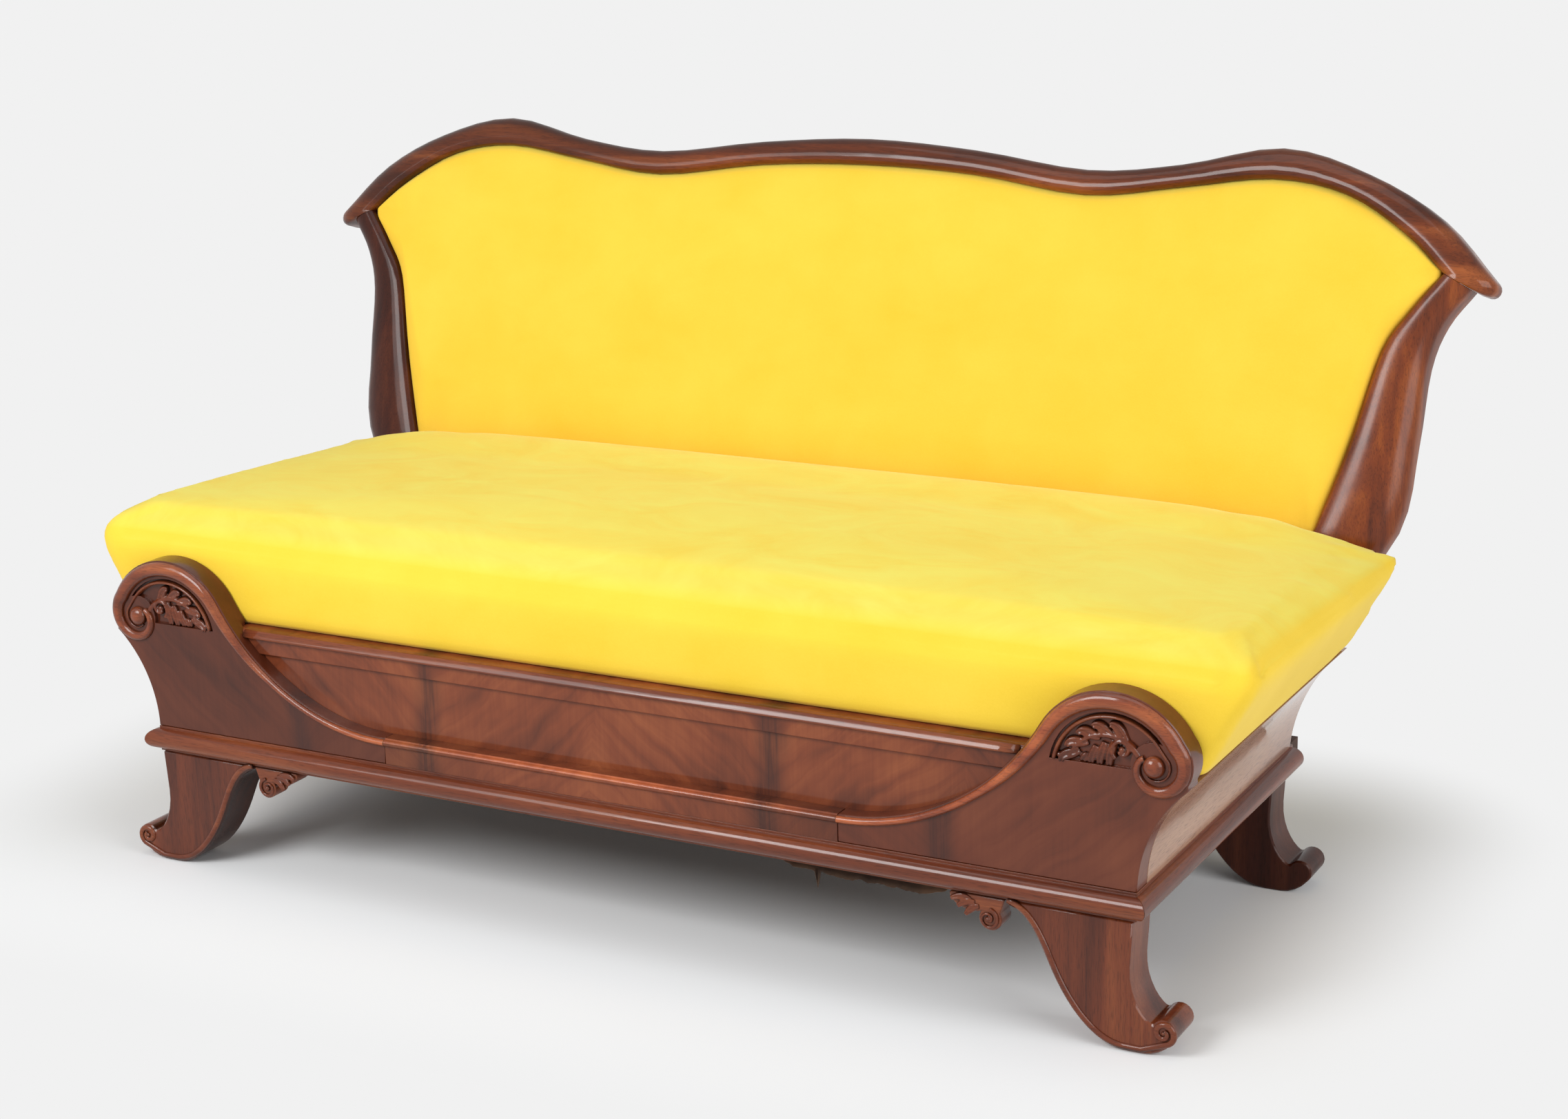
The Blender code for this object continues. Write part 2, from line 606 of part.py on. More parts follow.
def foot_outline():
    side = BASE_HALF_WIDTH
    top = FOOT_HEIGHT
    knee = (side - KNEE_INSET, KNEE_HEIGHT)
    toe = (side + TOE_REACH, TOE_HEIGHT)
    roll = arc(toe, TOE_RADIUS, TOE_FROM, TOE_TO, 12)
    ankle = (side - 2 * FOOT_SETBACK, toe[1] + INSTEP_RISE)
    brow = swoop((FOOT_INNER_X, top - FOOT_BROW), BROW_HEADING, knee, KNEE_HEADING, 7)
    sweep = swoop(knee, KNEE_HEADING, (side - SOLE_FROM, 0.0), 0.0, 10)
    under = swoop((side + SOLE_TO, 0.0), 0.0, roll[0], TOE_UNDER_HEADING, 4)
    instep = swoop(roll[-1], math.pi, ankle, INSTEP_HEADING, 8, (0.12, 0.55))
    inner = [(FOOT_INNER_X, top)] + brow + sweep[1:]
    return inner + under + roll[1:] + instep[1:] + [(side - FOOT_SETBACK, top)]


def feet(finish, parent):
    rear_face = back_y(CARCASS_BOTTOM, BACK_DEPTH) - FOOT_THICKNESS
    places = {"front": (FOOT_FACE_SETBACK, 0.0), "rear": (rear_face, REAR_FOOT_INSET)}
    for row, (y, set_in) in places.items():
        outline = [(x - set_in, z) for x, z in foot_outline()]
        for hand, side in (("left", -1), ("right", 1)):
            name = f"foot_{row}_{hand}"
            foot = slab(name, mirrored(outline, side), y, y + FOOT_THICKNESS, finish, parent)
            soften(foot, FOOT_EDGE)


def foot_bracket(name, side, finish, parent):
    """Small scroll and leaf under the moulding, inside a front foot."""
    right = FOOT_INNER_X - BRACKET_CLEAR
    left = right - BRACKET_LENGTH
    top = FOOT_HEIGHT
    eye = (right - BRACKET_SCROLL_INSET - BRACKET_SCROLL, top - BRACKET_SCROLL_DROP)
    scroll = arc(eye, BRACKET_SCROLL, math.radians(35), math.radians(-215), 16)
    tip = (left, top - BRACKET_TIP)
    leaf = swoop(scroll[-1], math.radians(212), tip, math.radians(114), 8, (0.18, 0.38))
    outline = [(right, top)] + scroll + leaf[1:] + [(left, top)]
    front = FOOT_FACE_SETBACK
    bracket = slab(name, mirrored(outline, side), front, front + BRACKET_THICKNESS, finish, parent)
    soften(bracket, BRACKET_EDGE)


def inner_frame(finish, parent):
    """Rear rail and plank, corner posts and blocks, and the bearers that tie front to back."""
    rear_back = back_y(CARCASS_BOTTOM, -GAP)
    rear_front = rear_back - REAR_RAIL_THICKNESS
    reach = SIDE_INNER_X - GAP
    block("rear_rail", (-reach, rear_front, CARCASS_BOTTOM),
          (reach, rear_back, REAR_RAIL_TOP), finish, parent)
    rear_plank(finish, parent)
    post_from = s_curve_x(FRONT_RAIL_TOP) + RAIL_LAP + GAP
    post_front = SCROLL_BACK_Y + GAP
    for hand, side in (("left", -1), ("right", 1)):
        ends = sorted((side * post_from, side * reach))
        block(f"corner_post_{hand}", (ends[0], post_front, CARCASS_BOTTOM),
              (ends[1], post_front + POST_DEPTH, CARCASS_BOTTOM + BLOCK_HEIGHT), finish, parent)
        corner = (side * reach, rear_front - GAP)
        plan = [corner, (corner[0] - side * BLOCK_LEG, corner[1]), (corner[0], corner[1] - BLOCK_LEG)]
        rings = [[(x, y, z) for x, y in plan] for z in (CARCASS_BOTTOM, CARCASS_BOTTOM + BLOCK_HEIGHT)]
        loft(f"corner_block_{hand}", rings, finish, parent)
        centre = side * BEARER_X
        low = CARCASS_BOTTOM + BEARER_RISE
        block(f"cross_bearer_{hand}", (centre - BEARER_WIDTH / 2, RAIL_BACK_Y + GAP, low),
              (centre + BEARER_WIDTH / 2, rear_front - GAP, low + BEARER_HEIGHT), finish, parent)


def rear_plank(finish, parent):
    """Rear member of the plank frame: between the side planks, and behind their ends."""
    neck = BASE_HALF_WIDTH + MOULDING_REACH - PLANK_WIDTH - GAP
    wide = BASE_HALF_WIDTH - FOOT_SETBACK
    step = MOULDING_END + GAP
    back = back_y(CARCASS_BOTTOM, BACK_DEPTH)
    half = [(neck, MOULDING_END - PLANK_WIDTH), (neck, step), (wide, step), (wide, back)]
    plan = half + [(-x, y) for x, y in half[::-1]]
    rings = [[(x, y, z) for x, y in plan] for z in (PLANK_BOTTOM, PLANK_TOP)]
    loft("base_frame_rear", rings, finish, parent)


def seat_support(jute, steel, cotton, parent):
    """Webbing under the plank frame, springs on it, hessian over them and a dust cover below."""
    columns = [(i - (SPRING_COLUMNS - 1) / 2) * SPRING_PITCH_X for i in range(SPRING_COLUMNS)]
    cross_top = PLANK_BOTTOM - GAP
    cross_low = cross_top - WEB_THICKNESS
    front = FOOT_FACE_SETBACK + BRACKET_THICKNESS + WEB_CLEAR
    rear = MOULDING_END - PLANK_WIDTH / 2
    half = WEB_WIDTH / 2
    for i, x in enumerate(columns):
        block(f"cross_webbing_{i + 1}", (x - half, front, cross_low),
              (x + half, rear, cross_top), jute, parent)
    long_top = cross_low - GAP
    long_low = long_top - WEB_THICKNESS
    reach = BASE_HALF_WIDTH - PLANK_WIDTH / 2
    rows = [MOULDING_END * share for share in SPRING_ROW_SHARES]
    for i, y in enumerate(rows):
        block(f"long_webbing_{i + 1}", (-reach, y - half, long_low),
              (reach, y + half, long_top), jute, parent)
    cover_top = long_low - GAP
    cover_reach = FOOT_INNER_X - WEB_CLEAR
    block("dust_cover", (-cover_reach, front, cover_top - CLOTH),
          (cover_reach, rear, cover_top), cotton, parent)
    hessian_top = SEAT_BOTTOM - GAP
    hessian_low = hessian_top - CLOTH
    hessian_reach = BORDER_INNER_X - GAP
    hessian_rear = back_y(CARCASS_BOTTOM, -GAP) - REAR_RAIL_THICKNESS - GAP
    block("spring_hessian", (-hessian_reach, SEAT_FRONT + BORDER_WIDTH + GAP, hessian_low),
          (hessian_reach, hessian_rear, hessian_top), jute, parent)
    least = []
    number = 0
    for y in rows:
        for x in columns:
            number += 1
            name = f"seat_spring_{number:02d}"
            least.append(coil_spring(name, x, y, cross_top + GAP, hessian_low - GAP, steel, parent))
    print(f"least gap between a spring's turns: {min(least) * 1000:.1f} mm")


def coil_spring(name, x, y, bottom, top, finish, parent):
    """Waisted upholstery spring: one wire, wide at its ends.  Returns its least gap to itself."""
    wire = SPRING_WIRE / 2
    count = SPRING_TURNS * CURL_POINTS
    points = []
    for i in range(count + 1):
        share = i / count
        flare = (2 * share - 1) ** 2
        radius = SPRING_WAIST_RADIUS + (SPRING_END_RADIUS - SPRING_WAIST_RADIUS) * flare
        turn = 2 * math.pi * SPRING_TURNS * share
        height = bottom + wire + (top - bottom - SPRING_WIRE) * share
        points.append(Vector((radius * math.cos(turn), radius * math.sin(turn), height)))
    curve = bpy.data.curves.new(name, "CURVE")
    curve.dimensions = "3D"
    curve.bevel_depth = wire
    curve.bevel_resolution = 1
    curve.use_fill_caps = True
    path = curve.splines.new("POLY")
    path.points.add(count)
    for knot, point in zip(path.points, points):
        knot.co = (x + point.x, y + point.y, point.z, 1.0)
    spring = bpy.data.objects.new(name, curve)
    bpy.context.scene.collection.objects.link(spring)
    spring.parent = parent
    curve.materials.append(finish)
    apart = [(a - b).length for i, a in enumerate(points) for b in points[i + CURL_POINTS // 2:]]
    return min(apart) - SPRING_WIRE


def seat_side_x(z):
    """Flared side of the seat, from the top of the coved rail to the shoulder."""
    low = SIDE_RAIL_TOP + GAP
    share = (z - low) / (SEAT_SHOULDER - low)
    start = cove_x(SIDE_RAIL_TOP)
    return start + (SEAT_HALF_WIDTH - start) * share + SEAT_SIDE_BULGE * math.sin(math.pi * share)


def seat_plan(half_width, front, rear, radius):
    """Rounded rectangle in plan, anticlockwise, with points along its straight sides."""
    corners = ((half_width - radius, front + radius, -90), (half_width - radius, rear - radius, 0),
               (-half_width + radius, rear - radius, 90), (-half_width + radius, front + radius, 180))
    runs = (5, 12, 5, 12)
    outline = []
    for i, (x, y, start) in enumerate(corners):
        bend = arc((x, y), radius, math.radians(start), math.radians(start + 90), 4)
        nx, ny, turn = corners[(i + 1) % 4]
        ahead = arc((nx, ny), radius, math.radians(turn), math.radians(turn), 1)[0]
        outline += bend
        steps = runs[i]
        for k in range(1, steps):
            outline.append(tuple(a + (b - a) * k / steps for a, b in zip(bend[-1], ahead)))
    return outline


def seat_pad(finish, parent):
    """Crowned seat: flared sides, a rolled edge all round but at the back, and a low crown."""
    clear = -(BACK_PROUD + SEAT_BACK_CLEAR)
    rings = []
    levels = [SEAT_BOTTOM + (SEAT_SHOULDER - SEAT_BOTTOM) * i / 3 for i in range(4)]
    for z in levels:
        plan = seat_plan(seat_side_x(z), SEAT_FRONT, back_y(z, clear), SEAT_CORNER)
        rings.append([(x, y, z) for x, y in plan])
    top = SEAT_SHOULDER + SEAT_ROLL
    rear = back_y(top, clear)
    for i in range(1, 5):
        turn = math.pi / 2 * i / 4
        drawn_in = 1 - math.cos(turn)
        z = SEAT_SHOULDER + SEAT_ROLL * math.sin(turn)
        plan = seat_plan(SEAT_HALF_WIDTH - SEAT_ROLL * drawn_in, SEAT_FRONT + SEAT_FRONT_ROLL * drawn_in,
                         back_y(z, clear), SEAT_CORNER)
        rings.append([sunk(x, y, z, rear, math.sin(turn)) for x, y in plan])
    edge = rings[-1]
    middle = (SEAT_FRONT + rear) / 2
    for share in (0.9, 0.75, 0.55, 0.3, 0.1):
        lift = top + SEAT_CROWN * (1 - share ** 2)
        plan = [(x * share, middle + (y - middle) * share) for x, y, _ in edge]
        rings.append([sunk(x, y, lift, rear, 1.0) for x, y in plan])
    loft("seat_pad", rings, finish, parent)


def sunk(x, y, z, rear, amount):
    """Point of the pad's top, sunk towards the rear corners along the lean of the back."""
    share = abs(x / SEAT_HALF_WIDTH) ** 4 * ((y - SEAT_FRONT) / (rear - SEAT_FRONT)) ** 2
    fall = SEAT_REAR_FALL * amount * share
    return (x, y - fall * math.tan(BACK_LEAN), z - fall)


def seat_borders(finish, parent):
    """Stuffed edges that carry the pad: two flared sides, a front and a rear."""
    low = SIDE_RAIL_TOP + GAP
    levels = [low + (BORDER_TOP - low) * i / 4 for i in range(5)]
    for hand, side in (("left", -1), ("right", 1)):
        rings = []
        for z in levels:
            x, rear = seat_side_x(z), back_y(z, -GAP)
            bend = arc((x - SEAT_CORNER, SEAT_FRONT + SEAT_CORNER), SEAT_CORNER, -math.pi / 2, 0.0, 4)
            plan = [(BORDER_INNER_X, SEAT_FRONT)] + bend + [(x, rear), (BORDER_INNER_X, rear)]
            rings.append([(side * px, py, z) for px, py in plan])
        loft(f"seat_border_{hand}", rings, finish, parent)
    reach = BORDER_INNER_X - GAP
    block("seat_border_front", (-reach, SEAT_FRONT, FRONT_RAIL_TOP + GAP),
          (reach, SEAT_FRONT + BORDER_WIDTH, BORDER_TOP), finish, parent)
    rear_front = back_y(CARCASS_BOTTOM, -GAP) - REAR_RAIL_THICKNESS
    foot = REAR_RAIL_TOP + GAP
    profile = [(rear_front, foot), (back_y(foot, -GAP), foot), (back_y(BORDER_TOP, -GAP), BORDER_TOP),
               (rear_front, BORDER_TOP)]
    rings = [[(x, y, z) for y, z in profile] for x in (-reach, reach)]
    loft("seat_border_rear", rings, finish, parent)


def rail_section(inner, outer, crown=1.0):
    """Section of a back rail between its inner and outer edge points: rounded, or flat at 0."""
    across = Vector(outer) - Vector(inner)
    fall = min(BACK_OUTER_FALL * across.length / CREST_WIDTH, BACK_MOST_FALL)
    ring = [(0.0, BACK_DEPTH)]
    inside = arc((0, 0), 1, math.pi, math.pi / 2, 4)
    outside = arc((0, 0), 1, math.pi / 2, 0, 5)[1:]
    for x, rise in inside:
        lift = BACK_INNER_EDGE + (BACK_PROUD - BACK_INNER_EDGE) * rise
        ring.append((BACK_APEX * (1 + x), -crown * lift))
    for x, rise in outside:
        lift = (BACK_PROUD + fall) * rise - fall
        ring.append((BACK_APEX + (1 - BACK_APEX) * x, -crown * lift))
    ring += [(1.0, BACK_DEPTH - BACK_CHAMFER), (1.0 - BACK_CHAMFER / across.length, BACK_DEPTH)]
    section = []
    for share, depth in ring:
        section.append(back_point(inner[0] + across.x * share, inner[1] + across.y * share, depth))
    return section


def joint_point(along, below=0.0):
    """Point on the joint between crest and stile, measured from the inner corner."""
    cosine, sine = math.cos(JOINT_ANGLE), math.sin(JOINT_ANGLE)
    x = CORNER_X + along * cosine + below * sine
    z = CORNER_Z + along * sine - below * cosine
    return (x, z)


def horn_tip():
    """Round end of the crest, from its outer edge to its underside."""
    centre = (BASE_HALF_WIDTH + HORN_REACH - HORN_RADIUS, CORNER_Z - HORN_DROP)
    return arc(centre, HORN_RADIUS, HORN_FROM, HORN_TO, 6)


def crest_edges():
    """Outer and inner edges of the crest's right half, from the middle to the horn."""
    horn = horn_tip()[0]
    corner = (CORNER_X, CORNER_Z)
    quarter, rising = CREST_DIP_X / 2, (CREST_DIP_X + CREST_PEAK_X) / 2
    outer = [(-quarter, CREST_MID - CREST_EASE), (0.0, CREST_MID), (quarter, CREST_MID - CREST_EASE),
             (CREST_DIP_X, CREST_DIP), (rising, CREST_DIP + CREST_RISE), (CREST_PEAK_X, CREST_PEAK),
             (CREST_PEAK_X + CREST_SHOULDER[0], CREST_PEAK - CREST_SHOULDER[1]),
             (horn[0] - HORN_NECK[0], horn[1] + HORN_NECK[1]), horn]
    middle = CREST_MID - CREST_WIDTH
    dip = CREST_DIP - CREST_DIP_WIDTH
    peak = CREST_PEAK - CREST_PEAK_WIDTH
    inner = [(-quarter, middle - CREST_INNER_EASE), (0.0, middle), (quarter, middle - CREST_INNER_EASE),
             (CREST_DIP_X, dip), (rising, dip + CREST_INNER_RISE), (CREST_PEAK_X - CREST_PEAK_SHIFT, peak),
             (CREST_PEAK_X + CREST_INNER_SHOULDER[0], peak - CREST_INNER_SHOULDER[1]),
             (corner[0] - CORNER_NECK[0], corner[1] + CORNER_NECK[1]), corner]
    steps = 4
    return spline(outer, steps)[steps:], spline(inner, steps)[steps:]


def crest_rail(finish, parent):
    outer, inner = crest_edges()
    tip = horn_tip()[1:] + [joint_point(HORN_UNDER)]
    corner = [joint_point(JOINT_EASE * (i + 1) / len(tip)) for i in range(len(tip))]
    right = list(zip(inner + corner, outer + tip))
    left = [((-i[0], i[1]), (-o[0], o[1])) for i, o in right[:0:-1]]
    rings = [rail_section(i, o) for i, o in left + right]
    loft("crest_rail", rings, finish, parent)


def stile_edges():
    """Inner and outer edges of the right stile, from the joint down to its foot."""
    side = BASE_HALF_WIDTH
    inner_keys = [joint_point(JOINT_EASE, GAP)]
    outer_keys = [joint_point(STILE_TOP_WIDTH, GAP)]
    inner_keys += [(side + x, BACK_REF_Z + BACK_HEIGHT * share) for x, share in STILE_INNER]
    outer_keys += [(side + x, BACK_REF_Z + BACK_HEIGHT * share) for x, share in STILE_OUTER]
    inner_keys.append((side + STILE_FOOT_INNER, STILE_FOOT))
    outer_keys.append((side + STILE_FOOT_OUTER, STILE_FOOT))
    return spline(inner_keys, 4), spline(outer_keys, 4)


def back_stile(name, side, finish, parent):
    rings = []
    for inner, outer in zip(*stile_edges()):
        share = (inner[1] - STILE_FLAT_BELOW) / (STILE_ROUND_ABOVE - STILE_FLAT_BELOW)
        share = min(1.0, max(0.0, share))
        ring = rail_section(inner, outer, share)
        rings.append([(side * x, y, z) for x, y, z in ring])
    return loft(name, rings, finish, parent)


def stile_inner_x(z):
    """Inner edge of the stile at a height, along its straight facets."""
    inner, _ = stile_edges()
    for above, below in zip(inner, inner[1:]):
        if below[1] <= z <= above[1]:
            share = (z - below[1]) / (above[1] - below[1])
            return below[0] + (above[0] - below[0]) * share
    raise ValueError("height is outside the stile")


def back_opening(bottom):
    """Opening of the back frame above a height, anticlockwise from its lower left corner."""
    _, crest = crest_edges()
    stile, _ = stile_edges()
    up = [p for p in stile[1:] if p[1] > bottom + STEP][::-1]
    half = [(stile_inner_x(bottom), bottom)] + up + crest[:0:-1]
    left = [(-x, z) for x, z in half[::-1]]
    return half + [crest[0]] + left


def back_upholstery(velvet, jute, pine, parent):
    """Bottom rail, stuffed pad, the hessian behind it and the outside lining."""
    rail_low = BACK_RAIL_TOP - BACK_RAIL_HEIGHT
    ends = [(stile_inner_x(z) - GAP, z) for z in (rail_low, BACK_RAIL_TOP)]
    plan = [(-ends[0][0], rail_low), ends[0], ends[1], (-ends[1][0], BACK_RAIL_TOP)]
    rings = [[back_point(x, z, depth) for x, z in plan] for depth in (BACK_PAD_EDGE, BACK_DEPTH)]
    loft("back_bottom_rail", rings, pine, parent)

    opening = inset(back_opening(BACK_RAIL_TOP), GAP)
    rear = BACK_PAD_EDGE + BACK_PAD_THICKNESS
    middle = (BACK_RAIL_TOP + CREST_MID - CREST_WIDTH) / 2
    rings = [[back_point(x, z, depth) for x, z in opening] for depth in (rear, BACK_PAD_EDGE)]
    for share in (0.985, 0.94, 0.86, 0.72, 0.5, 0.22):
        lift = BACK_PAD_EDGE - BACK_PAD_CROWN * (1 - share ** 3)
        rings.append([back_point(x * share, middle + (z - middle) * share, lift) for x, z in opening])
    loft("back_pad", rings, velvet, parent)

    sheet = (rear + GAP, rear + GAP + CLOTH)
    loft("back_hessian", [[back_point(x, z, depth) for x, z in opening] for depth in sheet], jute, parent)
    lining = inset(back_opening(BACK_RAIL_TOP - LINING_LAP), -LINING_LAP)
    sheet = (BACK_DEPTH + GAP, BACK_DEPTH + GAP + CLOTH)
    loft("back_lining", [[back_point(x, z, depth) for x, z in lining] for depth in sheet], velvet, parent)


def centre_on_floor(root):
    """Bring the origin to the middle of the footprint."""
    bpy.context.view_layer.update()
    seen = [o for o in bpy.data.objects if o.type == "MESH" and not o.hide_render]
    depths = [(o.matrix_world @ v.co).y for o in seen for v in o.data.vertices]
    root.location.y = -(min(depths) + max(depths)) / 2


def build_settee():
    clear_scene()
    finish = {name: make_finish(name) for name in FINISHES}
    mahogany, veneer, pine = finish["mahogany"], finish["veneer"], finish["pine"]
    velvet, jute = finish["velvet"], finish["jute"]
    root = add_empty("settee")
    back = add_empty("raked_back", root)
    back.location = (0.0, BACK_REF_Y, BACK_REF_Z)
    back.rotation_euler = (-BACK_LEAN, 0.0, 0.0)

    feet(mahogany, root)
    base_mouldings(mahogany, root)
    rail_end = s_curve_x(FRONT_RAIL_TOP) + RAIL_LAP
    block("front_rail", (-rail_end, RAIL_FRONT_Y, CARCASS_BOTTOM),
          (rail_end, RAIL_BACK_Y, FRONT_RAIL_TOP), veneer, root)
    front_rail_band(veneer, root)
    front_apron(veneer, root)
    for hand, side in (("left", -1), ("right", 1)):
        foot_bracket(f"foot_bracket_{hand}", side, mahogany, root)
        scroll_board(f"scroll_board_{hand}", side, veneer, root)
        scroll_bead(f"scroll_bead_{hand}", side, mahogany, root)
        side_rail(f"side_rail_{hand}", side, veneer, root)
        back_stile(f"back_stile_{hand}", side, mahogany, back)
    inner_frame(pine, root)
    seat_support(jute, finish["spring_steel"], finish["dark_cotton"], root)
    seat_borders(velvet, root)
    seat_pad(velvet, root)
    crest_rail(mahogany, back)
    back_upholstery(velvet, jute, pine, back)
    centre_on_floor(root)


build_settee()
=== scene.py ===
import json
import math

import bmesh
import bpy
import numpy as np
from mathutils import Matrix, Vector, noise

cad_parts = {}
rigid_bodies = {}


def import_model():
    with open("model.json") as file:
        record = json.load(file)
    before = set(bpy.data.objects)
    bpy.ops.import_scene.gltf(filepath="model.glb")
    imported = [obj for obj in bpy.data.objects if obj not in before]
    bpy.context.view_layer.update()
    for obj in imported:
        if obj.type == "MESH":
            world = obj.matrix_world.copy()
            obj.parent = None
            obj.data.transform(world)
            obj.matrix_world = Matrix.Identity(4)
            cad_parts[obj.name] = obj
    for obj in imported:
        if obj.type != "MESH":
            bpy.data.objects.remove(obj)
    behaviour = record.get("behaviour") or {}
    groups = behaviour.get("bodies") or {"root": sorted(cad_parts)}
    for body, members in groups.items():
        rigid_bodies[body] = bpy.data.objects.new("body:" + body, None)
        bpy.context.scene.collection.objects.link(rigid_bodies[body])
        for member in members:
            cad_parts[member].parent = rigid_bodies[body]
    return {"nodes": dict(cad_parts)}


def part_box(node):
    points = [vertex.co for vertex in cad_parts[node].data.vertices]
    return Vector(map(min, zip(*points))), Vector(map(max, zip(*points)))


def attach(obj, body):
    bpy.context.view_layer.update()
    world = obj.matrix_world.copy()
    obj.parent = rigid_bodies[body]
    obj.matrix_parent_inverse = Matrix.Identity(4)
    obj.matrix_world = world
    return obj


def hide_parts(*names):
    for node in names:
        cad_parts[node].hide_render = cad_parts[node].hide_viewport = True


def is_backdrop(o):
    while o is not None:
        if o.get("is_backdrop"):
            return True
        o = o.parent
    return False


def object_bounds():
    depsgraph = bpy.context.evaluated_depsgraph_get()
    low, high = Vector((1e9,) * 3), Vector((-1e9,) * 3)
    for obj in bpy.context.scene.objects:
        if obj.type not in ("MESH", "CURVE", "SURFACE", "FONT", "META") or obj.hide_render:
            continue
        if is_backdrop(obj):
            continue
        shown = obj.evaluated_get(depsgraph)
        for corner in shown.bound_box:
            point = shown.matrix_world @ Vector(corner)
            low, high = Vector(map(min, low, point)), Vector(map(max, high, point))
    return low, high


for old in list(bpy.data.objects):
    bpy.data.objects.remove(old, do_unlink=True)
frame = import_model()
nodes = frame["nodes"]
scene = bpy.context.scene
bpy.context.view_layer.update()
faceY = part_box("scroll_board_right")[0].y     # front of the scroll boards
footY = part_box("foot_front_right")[0].y
backLean = math.radians(17.07)
rearward = Vector((0, math.cos(backLean), -math.sin(backLean)))   # square to the raked back
print("frame loaded:", len(nodes), "nodes")


def linear(hexText):
    parts = [int(hexText[i:i + 2], 16) / 255 for i in (1, 3, 5)]
    return tuple(p / 12.92 if p <= 0.04045 else ((p + 0.055) / 1.055) ** 2.4 for p in parts) + (1.0,)


def stretch(size, axis):
    # scale of a pattern in metres: size[0] wide, and size[1] long along the axis
    return [1 / size[axis == name] for name in "XYZ"]


def wire(tree, node, inputs):
    # sets or links a node's inputs; a node given as a value stands for its first output in use
    for key, value in inputs.items():
        if isinstance(value, bpy.types.Node):
            value = next(socket for socket in value.outputs if socket.enabled)
        if isinstance(value, bpy.types.NodeSocket):
            tree.links.new(value, node.inputs[key])
        else:
            node.inputs[key].default_value = value


def put(tree, kind, inputs=None, stops=None, **settings):
    node = tree.nodes.new(kind if "Node" in kind else "ShaderNode" + kind)
    for key, value in settings.items():
        setattr(node, key, value)
    wire(tree, node, inputs or {})
    if stops:
        steps = node.color_ramp.elements
        steps[0].position, steps[-1].position = stops[0][0], stops[-1][0]
        for place, _ in stops[1:-1]:
            steps.new(place)
        for step, (_, colour) in zip(steps, stops):
            step.color = linear(colour) if isinstance(colour, str) else (colour, colour, colour, 1.0)
    return node


def newFinish(name):
    finish = bpy.data.materials.new(name)
    finish.use_nodes = True
    tree = finish.node_tree
    return finish, tree, tree.nodes["Principled BSDF"], put(tree, "TexCoord").outputs["Object"]


shellac = {"Roughness": 0.45, "Specular IOR Level": 0.05, "Coat IOR": 1.5}   # matt wood under a clear film


def toned(tree, colour, rows):
    # painted light and shade: wood made darker or paler by the way a face looks, and also by its place
    # along the board; a share over 1 is paler
    surface = put(tree, "NewGeometry")
    for kind, axis, start, end, share in rows:
        measure = put(tree, "SeparateXYZ", {"Vector": surface.outputs[kind]})
        strength = put(tree, "MapRange", {"Value": measure.outputs[axis], "From Min": start,
                                          "From Max": end, "To Min": 1.0, "To Max": share},
                       interpolation_type="SMOOTHSTEP")
        colour = put(tree, "Mix", {0: 1.0, 6: colour, 7: strength}, data_type="RGBA", blend_type="MULTIPLY")
    return colour


# French-polished mahogany: shellac rubbed over dark red wood, so deep brown with fine straight streaks,
# narrow bright highlights, and paler, duller wood where edges have been knocked
mahoganyLook = {
    "dark": "#3a170d", "mid": "#6b3119", "light": "#93502b", "worn": "#b47c57",
    "streak": (0.0046, 0.170),      # growth streaks, width and length in metres
    "band": (0.042, 0.700),
    "pore": (0.0011, 0.016),        # real pores are about a third of this, drawn coarser to show
    "ripple": 0.055,                # hand-rubbed polish isn't quite flat
    "edge": 0.0016, "knock": 0.022, "smear": 0.07,
    "hollow": 0.012, "shadeAndSoil": "#1c0c08", "gloss": (0.06, 0.16),
}


